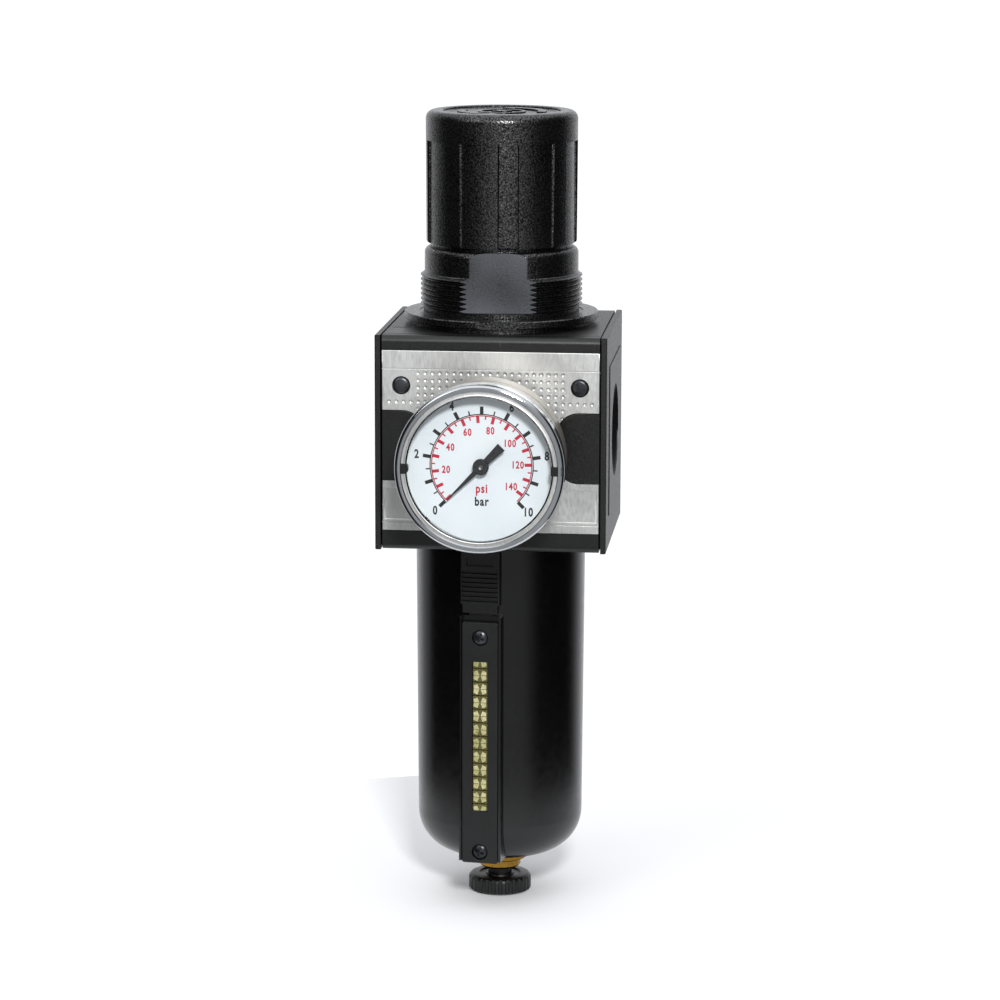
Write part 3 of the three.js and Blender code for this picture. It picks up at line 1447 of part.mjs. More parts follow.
function gaugeMovement() {
  const plate = disc(GAUGE.plateRadius, plateLevel - GAUGE.plate, plateLevel, MIDDLE_ROUND);
  const root = plateLevel - POSTS.root;
  const dialBack = bezelFront - GAUGE.dialSink - GAUGE.dial - FACE_GAP;
  const pairOfPosts = (levels, x, y) =>
    [-1, 1].map((side) => disc(POSTS.radius, ...levels, POST_ROUND).translate(side * x, y, 0));
  const rearPosts = pairOfPosts([blockTop + FACE_GAP, root], POSTS.rearX, POSTS.rearY);
  const dialPosts = pairOfPosts([root, dialBack], POSTS.frontX, POSTS.frontY);
  const bearing = () =>
    disc(GAUGE.arbor + RUNNING_GAP, plateLevel - GAUGE.plate - PAST, plateLevel + PAST, SMALL_ROUND);
  const sectorBearing = bearing().translate(0, -pivotDistance, 0);
  return cut(join(plate, ...rearPosts, ...dialPosts), bearing(), sectorBearing);
}

function gaugePinion() {
  const arborTop = bezelFront - GAUGE.pointerSink + GAUGE.pointer / 2;
  const half = GAUGE.pinionHalf;
  return turned(
    [
      [0, blockTop + FREE_GAP],
      [GAUGE.arbor, blockTop + FREE_GAP],
      [GAUGE.arbor, gearLevel - half],
      [GAUGE.pinion, gearLevel - half],
      [GAUGE.pinion, gearLevel + half],
      [GAUGE.arbor, gearLevel + half],
      [GAUGE.arbor, arborTop],
      [0, arborTop],
    ],
    SMALL_ROUND,
  );
}

function gaugePointer() {
  const z0 = bezelFront - GAUGE.pointerSink;
  const z1 = z0 + GAUGE.pointer;
  const outline = [
    [-GAUGE.pointerTail, GAUGE.tailHalf],
    [-GAUGE.pointerTail, -GAUGE.tailHalf],
    [GAUGE.hubRadius, -GAUGE.bladeHalf],
    [GAUGE.pointerLength, 0],
    [GAUGE.hubRadius, GAUGE.bladeHalf],
  ];
  const blade = prism(outline, z0, z1);
  const hub = disc(GAUGE.hubRadius, z0 - GAUGE.hubBack, z1 + GAUGE.hubFront, SMALL_ROUND);
  const boreTop = z0 + GAUGE.pointer / 2 + FACE_GAP;
  const bore = disc(GAUGE.arbor + FACE_GAP, z0 - PAST, boreTop, SMALL_ROUND);
  const zeroAngle = 270 - (360 - GAUGE.sweep) / 2;
  return turnedTo(cut(join(blade, hub), bore), zeroAngle);
}

function gaugeSector() {
  const half = GAUGE.gearWidth / 2;
  const rest = 90 - (GAUGE.sweep * sectorRatio) / 2;
  const reach = GAUGE.sectorAngle / 2;
  const rim = arc(0, 0, GAUGE.sector, rest - reach, rest + reach, GAUGE.sectorSteps);
  const fan = prism([[0, 0], ...rim], gearLevel - half, gearLevel + half);
  const arbor = disc(GAUGE.arbor, blockTop + FREE_GAP, plateLevel - FACE_GAP, SMALL_ROUND);
  const hubLevels = [gearLevel - GAUGE.sectorHubHalf, gearLevel + GAUGE.sectorHubHalf];
  const hub = disc(GAUGE.sectorHub, ...hubLevels, SMALL_ROUND);
  return join(fan, arbor, hub).translate(0, -pivotDistance, 0);
}

function bourdonTube() {
  const clear = (GAUGE.blockHalfWidth + FREE_GAP) / (GAUGE.tubeRadius - GAUGE.tubeHalfWidth);
  const start = -90 + THREE.MathUtils.radToDeg(Math.asin(clear));
  class Bend extends THREE.Curve {
    getPoint(t, target = new THREE.Vector3()) {
      const angle = THREE.MathUtils.degToRad(start + GAUGE.tubeSweep * t);
      return target.set(
        GAUGE.tubeRadius * Math.cos(angle),
        GAUGE.tubeRadius * Math.sin(angle),
        blockTop - GAUGE.block / 2,
      );
    }
  }
  const w = GAUGE.tubeHalfWidth;
  const h = GAUGE.tubeHalfHeight;
  const outline = [[h, 0], [h / 2, w], [-h / 2, w], [-h, 0], [-h / 2, -w], [h / 2, -w]];
  const section = new THREE.Shape(outline.map((p) => new THREE.Vector2(...p)));
  return new THREE.ExtrudeGeometry(section, { steps: GAUGE.tubeSteps, extrudePath: new Bend() });
}

// ---------------------------------------------------------------- the whole

const regulator = new THREE.Group();
regulator.add(
  mesh("body", bodyCasting(), MATERIALS.casting),
  mesh("front_cover", frontCover(), MATERIALS.moulding),
  mesh("front_plate", frontPlate(), MATERIALS.zinc),
  mesh("plate_pin_left", platePin(-1), MATERIALS.moulding),
  mesh("plate_pin_right", platePin(1), MATERIALS.moulding),
  mesh("back_cover", backCover(), MATERIALS.moulding),
  mesh("rear_plug", rearPlug(), MATERIALS.steel),
  mesh("range_spring", rangeSpring(), MATERIALS.steel),
  mesh("diaphragm", diaphragm(), MATERIALS.rubber),
  mesh("slip_ring", slipRing(), MATERIALS.plastic),
  mesh("diaphragm_plate", diaphragmPlate(), MATERIALS.zinc),
  mesh("relief_seat", reliefSeat(), MATERIALS.brass),
  mesh("valve_poppet", valvePoppet(), MATERIALS.brass),
  mesh("poppet_seal", poppetSeal(), MATERIALS.rubber),
  mesh("valve_spring", valveSpring(), MATERIALS.steel),
  mesh("valve_carrier", valveCarrier(), MATERIALS.plastic),
  mesh("swirl_deflector", swirlDeflector(), MATERIALS.moulding),
  mesh("filter_element", filterElement(), MATERIALS.filter),
  mesh("baffle", baffle(), MATERIALS.moulding),
  mesh("filter_nut", filterNut(), MATERIALS.moulding),
);

const bonnetGroup = new THREE.Group();
bonnetGroup.rotation.z = THREE.MathUtils.degToRad(BONNET.turn);
bonnetGroup.add(
  mesh("bonnet", bonnet(), MATERIALS.grained),
  mesh("spring_nut", springNut(), MATERIALS.brass),
);
regulator.add(bonnetGroup);

const knobGroup = new THREE.Group();
knobGroup.rotation.z = THREE.MathUtils.degToRad(KNOB.turn);
knobGroup.add(
  mesh("knob", knob(), MATERIALS.grained),
  mesh("knob_cap", knobCap(), MATERIALS.grained),
  mesh("adjusting_spindle", adjustingSpindle(), MATERIALS.steel),
  mesh("thrust_washer", thrustWasher(), MATERIALS.steel),
);
regulator.add(knobGroup);

const bowlGroup = new THREE.Group();
bowlGroup.rotation.z = THREE.MathUtils.degToRad(BOWL.turn);
bowlGroup.add(
  mesh("bowl", bowl(), MATERIALS.paint),
  mesh("bowl_ring", bowlRing(), MATERIALS.rubber),
  mesh("bowl_latch", bowlLatch(), MATERIALS.moulding),
  mesh("latch_spring", latchSpring(), MATERIALS.steel),
  mesh("sight_glass", sightGlass(), MATERIALS.prism),
  mesh("sight_gasket", sightGasket(), MATERIALS.rubber),
  mesh("sight_cover", sightCover(), MATERIALS.casting),
  mesh("cover_screw_upper", coverScrew(screwLevels[0]), MATERIALS.steel),
  mesh("cover_screw_lower", coverScrew(screwLevels[1]), MATERIALS.steel),
  mesh("drain_body", drainBody(), MATERIALS.brass),
  mesh("drain_stem", drainStem(), MATERIALS.moulding),
  mesh("drain_seal", drainSeal(), MATERIALS.rubber),
  mesh("drain_spring", drainSpring(), MATERIALS.steel),
  mesh("drain_wheel", drainWheel(), MATERIALS.moulding),
);
regulator.add(bowlGroup);

const gaugeGroup = new THREE.Group();
gaugeGroup.rotation.x = Math.PI / 2;
gaugeGroup.position.z = GAUGE_PORT.height;
gaugeGroup.add(
  mesh("gauge_socket", gaugeSocket(), MATERIALS.brass),
  mesh("gauge_case", gaugeCase(), MATERIALS.steel),
  mesh("gauge_bezel", gaugeBezel(), MATERIALS.chrome),
  mesh("gauge_window", gaugeWindow(), MATERIALS.glass),
  mesh("gauge_dial", gaugeDial(), MATERIALS.dial),
  mesh("gauge_movement", gaugeMovement(), MATERIALS.brass),
  mesh("gauge_pinion", gaugePinion(), MATERIALS.brass),
  mesh("gauge_pointer", gaugePointer(), MATERIALS.pointer),
  mesh("gauge_sector", gaugeSector(), MATERIALS.brass),
  mesh("bourdon_tube", bourdonTube(), MATERIALS.brass),
);
regulator.add(gaugeGroup);

export default regulator;
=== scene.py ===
# %% [markdown]
# # A compressed-air filter-regulator
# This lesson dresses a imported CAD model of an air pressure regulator: a black block
# with two pipe ports, a dial gauge in front, a grained knob above and a painted metal
# bowl with a sight glass and a drain below. The CAD frame fixes every size. We add the
# shapes that a coarse model leaves out, and the finishes that tell the eye what each
# piece is made of.

# %% Loading the frame
import bmesh
import bpy
import math
from mathutils import Matrix, Vector


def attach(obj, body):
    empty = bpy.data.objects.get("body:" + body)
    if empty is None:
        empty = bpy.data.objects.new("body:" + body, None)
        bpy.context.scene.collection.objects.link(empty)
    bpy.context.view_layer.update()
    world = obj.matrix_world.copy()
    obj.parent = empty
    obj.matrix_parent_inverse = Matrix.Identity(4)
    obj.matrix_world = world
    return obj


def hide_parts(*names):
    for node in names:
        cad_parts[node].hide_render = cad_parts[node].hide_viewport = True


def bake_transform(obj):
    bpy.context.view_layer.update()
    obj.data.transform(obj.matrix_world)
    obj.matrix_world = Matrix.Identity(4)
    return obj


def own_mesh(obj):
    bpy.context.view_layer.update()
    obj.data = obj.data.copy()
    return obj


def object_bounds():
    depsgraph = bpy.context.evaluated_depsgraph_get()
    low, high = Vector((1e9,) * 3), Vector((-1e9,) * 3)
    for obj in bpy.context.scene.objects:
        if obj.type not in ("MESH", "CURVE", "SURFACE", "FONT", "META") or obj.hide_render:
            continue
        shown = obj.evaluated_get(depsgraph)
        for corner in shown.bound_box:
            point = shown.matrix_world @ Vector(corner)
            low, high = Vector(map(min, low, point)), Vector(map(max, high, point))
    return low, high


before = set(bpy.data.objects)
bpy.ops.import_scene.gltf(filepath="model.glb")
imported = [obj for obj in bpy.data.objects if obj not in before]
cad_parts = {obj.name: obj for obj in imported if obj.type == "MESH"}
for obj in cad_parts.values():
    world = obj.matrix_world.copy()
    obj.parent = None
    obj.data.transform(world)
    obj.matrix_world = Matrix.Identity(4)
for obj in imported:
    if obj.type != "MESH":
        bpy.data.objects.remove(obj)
cad_low, cad_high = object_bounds()
print("CAD box in mm:", [round((b - a) * 1000, 1) for a, b in zip(cad_low, cad_high)])

# %% [markdown]
# ## Camera, floor and light
# The camera stands a little over a metre away with a long lens, slightly to the right
# and above, so the block shows its front, a narrow right end and some of its top. A
# long lens keeps upright edges nearly parallel, as in a catalogue picture.
# Black glossy things are drawn by what they mirror. The sky is therefore painted like a
# small studio: a white sweep behind, dark sides, and a soft box in front on the right.
# The white floor is a small round sheet, because the bowl would mirror a wide one and
# turn grey all over.

# %% Camera and floor
MM = 0.001
LENS = 128.37
FLOOR_RADIUS = 0.14
CAMERA_PLACE = (108.95, -1090.8, 182.4)  # mm
YAW, PITCH, ROLL = 5.72, 10.62, 0.15

stage_view = bpy.context.scene
stage_view.view_settings.view_transform = "Standard"
camera = bpy.data.objects.new("camera", bpy.data.cameras.new("camera"))
camera.data.lens = LENS
camera.data.sensor_width = 36
camera.data.clip_start = 0.01
camera.matrix_world = (
    Matrix.Translation(Vector(CAMERA_PLACE) * MM)
    @ Matrix.Rotation(math.radians(YAW), 4, "Z")
    @ Matrix.Rotation(math.radians(90 - PITCH), 4, "X")
    @ Matrix.Rotation(math.radians(ROLL), 4, "Z")
)
stage_view.collection.objects.link(camera)
stage_view.camera = camera

floor_mesh = bmesh.new()
bmesh.ops.create_circle(floor_mesh, cap_ends=True, radius=FLOOR_RADIUS, segments=96)
bmesh.ops.translate(floor_mesh, verts=floor_mesh.verts, vec=(0, 0, cad_low.z))
floor_data = bpy.data.meshes.new("floor")
floor_mesh.to_mesh(floor_data)
floor_mesh.free()
floor = bpy.data.objects.new("floor", floor_data)
stage_view.collection.objects.link(floor)
print("floor at", round(cad_low.z * 1000, 2), "mm")


# %% A helper for shader nodes
def add(tree, kind, values=None, links=None, **settings):
    """Adds one node, with values and links for its inputs and settings for its menus."""
    node = tree.nodes.new(kind)
    for name, value in settings.items():
        setattr(node, name, value)
    for key, value in (values or {}).items():
        node.inputs[key].default_value = value
    for key, source in (links or {}).items():
        tree.links.new(source, node.inputs[key])
    return node


def linear(code):
    """An sRGB hex colour as the linear numbers that shaders use."""
    parts = [int(code[i : i + 2], 16) / 255 for i in (1, 3, 5)]
    return [p / 12.92 if p <= 0.04045 else ((p + 0.055) / 1.055) ** 2.4 for p in parts] + [1]


def new_material(name):
    """An empty material: its node tree and its output node."""
    made = bpy.data.materials.new(name)
    made.use_nodes = True
    made.node_tree.nodes.clear()
    out = made.node_tree.nodes.new("ShaderNodeOutputMaterial")
    return made, made.node_tree, out


print("black paint in linear light:", [round(c, 4) for c in linear("#101112")])

# %% Sky painted as a studio
world = bpy.data.worlds.new("studio")
stage_view.world = world
world.use_nodes = True
sky = world.node_tree
sky.nodes.clear()
heading = add(sky, "ShaderNodeTexCoord").outputs["Generated"]
facing = add(sky, "ShaderNodeSeparateXYZ", links={0: heading})
# Each part of the studio is a soft step along one axis: the axis, where it starts, where it is
# full, and its brightness. Steps in one line multiply.
STUDIO = (
    ("sweep behind", 1.05, (("Y", 0.42, 1.0),)),
    ("soft box in front", 0.45, (("Y", -0.1, -0.35), ("X", -0.6, -0.2), ("X", 0.88, 0.55))),
    ("card on the left", 0.38, (("Y", 0.2, 0.4), ("X", -0.45, -0.7))),
    ("ceiling", 1.3, (("Z", 0.55, 0.9),)),
)
DARK_WALLS, PAPER = 0.02, 1.05


def sky_sum(operation, values=None, links=None):
    """The output of one arithmetic node of the sky."""
    return add(sky, "ShaderNodeMath", values, links, operation=operation).outputs[0]


light = sky_sum("ADD", {0: DARK_WALLS, 1: 0.0})
for name, strength, steps in STUDIO:
    part = sky_sum("ADD", {0: strength, 1: 0.0})
    for axis, start, full in steps:
        ramp = add(sky, "ShaderNodeMapRange", {1: start, 2: full}, {0: facing.outputs[axis]},
                   interpolation_type="SMOOTHSTEP")
        part = sky_sum("MULTIPLY", links={0: part, 1: ramp.outputs[0]})
    light = sky_sum("ADD", links={0: light, 1: part})
    print(name, strength)
shine = add(sky, "ShaderNodeBackground", {"Color": linear("#fbfcff")}, {"Strength": light})
# Seen straight on, the studio is plain white paper.
paper = add(sky, "ShaderNodeBackground", {"Color": linear("#ffffff"), "Strength": PAPER})
straight = add(sky, "ShaderNodeLightPath").outputs["Is Camera Ray"]
both = add(sky, "ShaderNodeMixShader", links={0: straight, 1: shine.outputs[0], 2: paper.outputs[0]})
add(sky, "ShaderNodeOutputWorld", links={"Surface": both.outputs[0]})


# %% Lamps
LAMP_AIM = (0, -30, 0)  # mm, between the block and its gauge


def lamp(name, place, size, power):
    """A square soft light at a place in mm, turned towards LAMP_AIM."""
    light = bpy.data.lights.new(name, "AREA")
    light.size = size * MM
    light.energy = power
    made = bpy.data.objects.new(name, light)
    spot = Vector(place) * MM
    toward = Vector(LAMP_AIM) * MM - spot
    made.matrix_world = Matrix.Translation(spot) @ toward.to_track_quat("-Z", "Y").to_matrix().to_4x4()
    stage_view.collection.objects.link(made)


lamp("key_lamp", (230, -1150, 560), 160, 12.5)
lamp("fill_lamp", (-900, -1100, 900), 700, 4)

# %% Floor finish
# Matt white card, as laid under small products: no gloss, only a faint mottling.
card, tree, out = new_material("white_studio_card")
place = add(tree, "ShaderNodeTexCoord").outputs["Object"]
mottle = add(tree, "ShaderNodeTexNoise", {"Scale": 2.0, "Detail": 2.0}, {"Vector": place})
tint = add(tree, "ShaderNodeMixRGB", {"Color1": linear("#f4f5f7"), "Color2": linear("#f8f9fa")},
           {"Fac": mottle.outputs["Fac"]})
skin = add(tree, "ShaderNodeBsdfPrincipled", {"Roughness": 0.95, "Specular IOR Level": 0.1},
           {"Base Color": tint.outputs[0]})
tree.links.new(skin.outputs[0], out.inputs["Surface"])
floor.data.materials.append(card)
print("floor finish:", card.name)

# %% [markdown]
# ## Finishes
# Nearly everything here is black, so the finishes differ by gloss and grain more than by
# colour. Each material mixes two close colours by a fine noise, lets the same noise
# change the roughness, and presses it into the surface as a low relief. The noise reads
# Object coordinates in metres, so a grain size in millimetres becomes a texture scale.


# %% One maker for grained finishes
CLOUD = 18.0  # mm, the size of the slow change of tone over a piece


def per(size):
    """The texture scale that gives features of a size in mm."""
    return 1 / (size * MM)


def grained(name, colours, grain, gloss, relief, stretch=(1, 1, 1), **sockets):
    """A material of two hex colours whose grain, in mm, also drives roughness and a relief in mm."""
    made, tree, out = new_material(name)
    place = add(tree, "ShaderNodeTexCoord").outputs["Object"]
    laid = add(tree, "ShaderNodeMapping", {"Scale": stretch}, {"Vector": place})
    noise = add(tree, "ShaderNodeTexNoise", {"Scale": per(grain), "Detail": 3.0}, {"Vector": laid.outputs[0]})
    fine = noise.outputs["Fac"]
    cloud = add(tree, "ShaderNodeTexNoise", {"Scale": per(CLOUD), "Detail": 1.0}, {"Vector": place})
    worn = add(tree, "ShaderNodeMath", {1: 0.5}, {0: fine, 2: cloud.outputs["Fac"]}, operation="MULTIPLY_ADD")
    mixing = add(tree, "ShaderNodeMapRange", {1: 0.5, 2: 1.0, 3: 0.0, 4: 1.0}, {0: worn.outputs[0]})
    tint = add(tree, "ShaderNodeMixRGB", {"Color1": linear(colours[0]), "Color2": linear(colours[1])},
               {"Fac": mixing.outputs[0]})
    rough = add(tree, "ShaderNodeMapRange", {1: 0.3, 2: 0.7, 3: gloss[0], 4: gloss[1]}, {0: fine})
    bump = add(tree, "ShaderNodeBump", {"Strength": 1.0, "Distance": relief * MM}, {"Height": fine})
    skin = add(tree, "ShaderNodeBsdfPrincipled", sockets,
               {"Base Color": tint.outputs[0], "Roughness": rough.outputs[0], "Normal": bump.outputs[0]})
    tree.links.new(skin.outputs[0], out.inputs["Surface"])
    return made


print("a 0.5 mm grain has texture scale", per(0.5))

# %% Black castings, paints and mouldings
# Die-cast aluminium, blasted and painted: the grit of the blasting stays under the paint.
cast_paint = grained("painted_die_cast_aluminium", ("#050506", "#0d0e0e"), 0.6, (0.34, 0.5), 0.04)
# Baked enamel on the deep-drawn metal bowl: a smooth semi-gloss with a very slight orange peel.
bowl_enamel = grained("semi_gloss_black_enamel", ("#020202", "#040405"), 2.2, (0.2, 0.26), 0.004,
                      **{"Specular IOR Level": 0.5})
# Glass-filled nylon from a polished tool: the covers, pins and latch, slightly waxy.
moulded_nylon = grained("moulded_black_nylon", ("#040404", "#090a0a"), 0.7, (0.32, 0.44), 0.03)
# Acetal from a spark-eroded tool: the pits give the knob and bonnet their speckled shine.
eroded_acetal = grained("spark_eroded_black_acetal", ("#020202", "#0b0b0c"), 0.6, (0.2, 0.36), 0.1,
                        IOR=1.62)
# Its eroded pits glint beside duller ones, so the strength of the gloss is speckled too.
tree = eroded_acetal.node_tree
place = add(tree, "ShaderNodeTexCoord").outputs["Object"]
pits = add(tree, "ShaderNodeTexNoise", {"Scale": per(0.45), "Detail": 0.0}, {"Vector": place})
glint = add(tree, "ShaderNodeMapRange", {1: 0.3, 2: 0.7, 3: 0.1, 4: 1.0}, {0: pits.outputs["Fac"]})
tree.links.new(glint.outputs[0], tree.nodes["Principled BSDF"].inputs["Specular IOR Level"])
# The spanner flats are milled after moulding, which bares the glass fibres: lighter and matt.
milled_acetal = grained("milled_black_acetal", ("#0f1012", "#4c4f56"), 0.42, (0.45, 0.6), 0.06)
# The steel strip over the sight glass is phosphated and oiled, fine and matt.
phosphated_steel = grained("phosphated_steel", ("#101111", "#1e1f1f"), 0.4, (0.4, 0.55), 0.015,
                           Metallic=0.3)
# Nitrile rubber: matt, with a faint bloom.
nitrile_rubber = grained("nitrile_rubber", ("#0d0d0d", "#1c1b1b"), 0.6, (0.7, 0.85), 0.01)
# Black anodised aluminium of the pointer and the turned stem.
anodised_black = grained("black_anodised_aluminium", ("#0d0d10", "#15161a"), 0.25, (0.4, 0.55), 0.003)
print("black finishes:", len(bpy.data.materials) - 1)

# %% Metals
# Zinc plate, bright dipped and lacquered: a soft satin with a slight vertical draw.
satin_zinc = grained("satin_zinc_plate", ("#b8b9b7", "#dcdddb"), 0.5, (0.38, 0.48), 0.01, (1, 1, 0.25),
                     Metallic=0.9)
# Chromium on the rolled bezel: nearly a mirror, with faint handling haze.
bright_chrome = grained("bright_chrome_plate", ("#b4b8bb", "#c6c9cc"), 3.0, (0.06, 0.12), 0.001,
                        Metallic=1.0)
# The gauge case is drawn steel with a warm satin nickel.
warm_nickel = grained("warm_satin_nickel", ("#8f8a83", "#a8a29a"), 0.6, (0.3, 0.4), 0.004, Metallic=0.8)
# Zinc-plated steel of springs, spindle and plug.
plated_steel = grained("zinc_plated_steel", ("#9a9ca0", "#b4b6b9"), 0.4, (0.25, 0.4), 0.004, Metallic=1.0)
# Screws and pins are steel under black oxide, with lighter and darker spots.
black_oxide = grained("black_oxide_steel", ("#26272a", "#4a4c50"), 0.7, (0.25, 0.4), 0.008, Metallic=0.8)
# Free-cutting brass, turned: yellow with darker tarnish in patches.
turned_brass = grained("turned_brass", ("#6a4b1a", "#a88338"), 1.5, (0.16, 0.32), 0.006, (1, 1, 3),
                       Metallic=1.0)
print("metals: zinc, chrome, nickel, steel, black oxide, brass")

# %% Dial, print, pointer, filter and plastics
# Baked white lacquer with a breath of blue, printed in black and red.
dial_lacquer = grained("white_dial_lacquer", ("#dfe9ee", "#e9f1f4"), 0.4, (0.4, 0.5), 0.002)
black_ink = grained("black_dial_ink", ("#040405", "#0a0a0c"), 0.2, (0.55, 0.65), 0.001)
red_ink = grained("red_dial_ink", ("#b80c30", "#c81c40"), 0.2, (0.55, 0.65), 0.001)
# Sintered polyethylene beads of the filter, about a quarter of a millimetre each.
sintered_media = grained("sintered_polyethylene", ("#d9d6cb", "#efece2"), 0.25, (0.85, 0.95), 0.08)
# Natural acetal of the inner plastic pieces.
natural_acetal = grained("natural_acetal", ("#c4c1b6", "#d6d3c9"), 0.8, (0.4, 0.5), 0.004)
print("light finishes: lacquer, inks, sintered beads, acetal")

# %% Clear acrylic window
# Coated clear acrylic seen square on shows only the little that it mirrors. Mixing a clear sheet with
# a gloss by Fresnel keeps it thin and see-through.
window_acrylic, tree, out = new_material("clear_acrylic")
place = add(tree, "ShaderNodeTexCoord").outputs["Object"]
haze = add(tree, "ShaderNodeTexNoise", {"Scale": per(6.0)}, {"Vector": place})
wiped = add(tree, "ShaderNodeMapRange", {3: 0.02, 4: 0.07}, {0: haze.outputs["Fac"]})
clear = add(tree, "ShaderNodeBsdfTransparent")
mirror = add(tree, "ShaderNodeBsdfGlossy", {"Color": linear("#ffffff")}, {"Roughness": wiped.outputs[0]})
share = add(tree, "ShaderNodeFresnel", {"IOR": 1.3})
sheet = add(tree, "ShaderNodeMixShader",
            links={0: share.outputs[0], 1: clear.outputs[0], 2: mirror.outputs[0]})
tree.links.new(sheet.outputs[0], out.inputs["Surface"])
print("window:", window_acrylic.name)

# %% Golden prism of the sight glass
# The level glass is amber polycarbonate with a row of prisms: where there is air they
# throw light back as gold, and the grooves between them stay dark.
amber_prism, tree, out = new_material("amber_polycarbonate")
place = add(tree, "ShaderNodeTexCoord").outputs["Object"]
streak = add(tree, "ShaderNodeTexNoise", {"Scale": per(0.7), "Detail": 2.0}, {"Vector": place})
tone = add(tree, "ShaderNodeMixRGB", {"Color1": linear("#35361a"), "Color2": linear("#8f8b50")},
           {"Fac": streak.outputs["Fac"]})
ripple = add(tree, "ShaderNodeBump", {"Strength": 1.0, "Distance": 0.01 * MM},
             {"Height": streak.outputs["Fac"]})
skin = add(tree, "ShaderNodeBsdfPrincipled",
           {"Roughness": 0.08, "IOR": 1.58, "Metallic": 0.45, "Coat Weight": 0.6, "Coat Roughness": 0.05},
           {"Base Color": tone.outputs[0], "Normal": ripple.outputs[0]})
tree.links.new(skin.outputs[0], out.inputs["Surface"])
# The roof faces that send the light back are painted pale gold, lighter than the bar: a painted highlight.
painted_glint_finish = grained("painted_glint_prism_faces", ("#8f8a4a", "#f3ecc0"), 1.1, (0.15, 0.3), 0.01,
                     **{"Metallic": 0.2, "Coat Weight": 0.5})
print("prism:", amber_prism.name)

# %% [markdown]
# ## Tools for making shapes
# A turned shape is a half outline spun about Z. A flat one is an outline extruded along
# an axis. Cuts are exact Booleans between closed shapes, done in millimetres because the
# solver keeps more digits there. Every finished piece is then scaled to metres, shaded
# smooth up to its sharp edges, and tied to the CAD body that it moves with.

# %% Shapes in millimetres
AXES = {
    "X": Matrix(((0, 0, 1), (1, 0, 0), (0, 1, 0))).to_4x4(),
    "Y": Matrix(((1, 0, 0), (0, 0, 1), (0, 1, 0))).to_4x4(),
    "Z": Matrix.Identity(4),
}


def arc(x, y, radius, start, end, steps=8):
    """Points along an arc, in degrees, steps + 1 of them."""
    angles = [math.radians(start + (end - start) * i / steps) for i in range(steps + 1)]
    return [(x + radius * math.cos(a), y + radius * math.sin(a)) for a in angles]


def at(radius, angle):
    """The point at a radius and an angle in degrees."""
    return radius * math.cos(math.radians(angle)), radius * math.sin(math.radians(angle))


def turned(outline, steps=128):
    """A shape spun about Z from a closed outline of (radius, height)."""
    bm = bmesh.new()
    points = [bm.verts.new((r, 0, z)) for r, z in outline]
    pairs = zip(points, points[1:] + points[:1])
    edges = [bm.edges.new(pair) for pair in pairs if pair[0].co.x or pair[1].co.x]
    bmesh.ops.spin(bm, geom=points + edges, axis=(0, 0, 1), angle=math.tau, steps=steps, use_merge=True)
    bmesh.ops.remove_doubles(bm, verts=bm.verts, dist=1e-4)
    bmesh.ops.recalc_face_normals(bm, faces=bm.faces)
    return bm


def slab(outline, near, far, axis="Y", corner=0, steps=5):
    """A flat outline pulled along an axis, with its corners rounded if asked.

    The outline's two numbers are x and z for Y, x and y for Z, y and z for X."""
    bm = bmesh.new()
    bm.faces.new([bm.verts.new((u, v, near)) for u, v in outline])
    if corner:
        bmesh.ops.bevel(bm, geom=bm.verts[:], offset=corner, segments=steps, profile=0.5,
                        affect="VERTICES", material=-1)
    pulled = bmesh.ops.extrude_face_region(bm, geom=bm.faces[:])
    tips = [v for v in pulled["geom"] if isinstance(v, bmesh.types.BMVert)]
    bmesh.ops.translate(bm, verts=tips, vec=(0, 0, far - near))
    bmesh.ops.transform(bm, matrix=AXES[axis], verts=bm.verts)
    bmesh.ops.recalc_face_normals(bm, faces=bm.faces)
    return bm


def block(xs, ys, zs):
    """A box between two x, two y and two z values."""
    corners = [(xs[0], ys[0]), (xs[1], ys[0]), (xs[1], ys[1]), (xs[0], ys[1])]
    return slab(corners, zs[0], zs[1], "Z")


def soften(bm, width, chosen, segments=3, sharper=25):
    """Rounds the edges sharper than some degrees whose ends both pass a test."""
    edges = [e for e in bm.edges if all(chosen(v.co) for v in e.verts)
             and e.calc_face_angle(0) > math.radians(sharper)]
    bmesh.ops.bevel(bm, geom=edges, offset=width, segments=segments, profile=0.5,
                    affect="EDGES", material=-1)
    return bm


def moved(bm, matrix):
    """The same bmesh, placed by a matrix."""
    bmesh.ops.transform(bm, matrix=matrix, verts=bm.verts)
    return bm


def turn(degrees, axis="Z"):
    return Matrix.Rotation(math.radians(degrees), 4, axis)


def shift(x, y, z):
    return Matrix.Translation((x, y, z))


def joined(shapes):
    """Several bmeshes as one, each still its own shell."""
    whole = bmesh.new()
    for shape in shapes:
        held = bpy.data.meshes.new("held")
        shape.to_mesh(held)
        shape.free()
        whole.from_mesh(held)
        bpy.data.meshes.remove(held)
    return whole


def carved(base, tool, operation="DIFFERENCE"):
    """base cut by, or joined with, a tool of one or more shells."""
    made = []
    for shape in (base, tool):
        held = bpy.data.meshes.new("held")
        shape.to_mesh(held)
        shape.free()
        made.append(bpy.data.objects.new("held", held))
        stage_view.collection.objects.link(made[-1])
    cut = made[0].modifiers.new("cut", "BOOLEAN")
    cut.operation, cut.solver, cut.use_self, cut.object = operation, "EXACT", True, made[1]
    result = bmesh.new()
    result.from_object(made[0], bpy.context.evaluated_depsgraph_get())
    for obj in made:
        bpy.data.meshes.remove(obj.data)
    return result


print("tools ready")


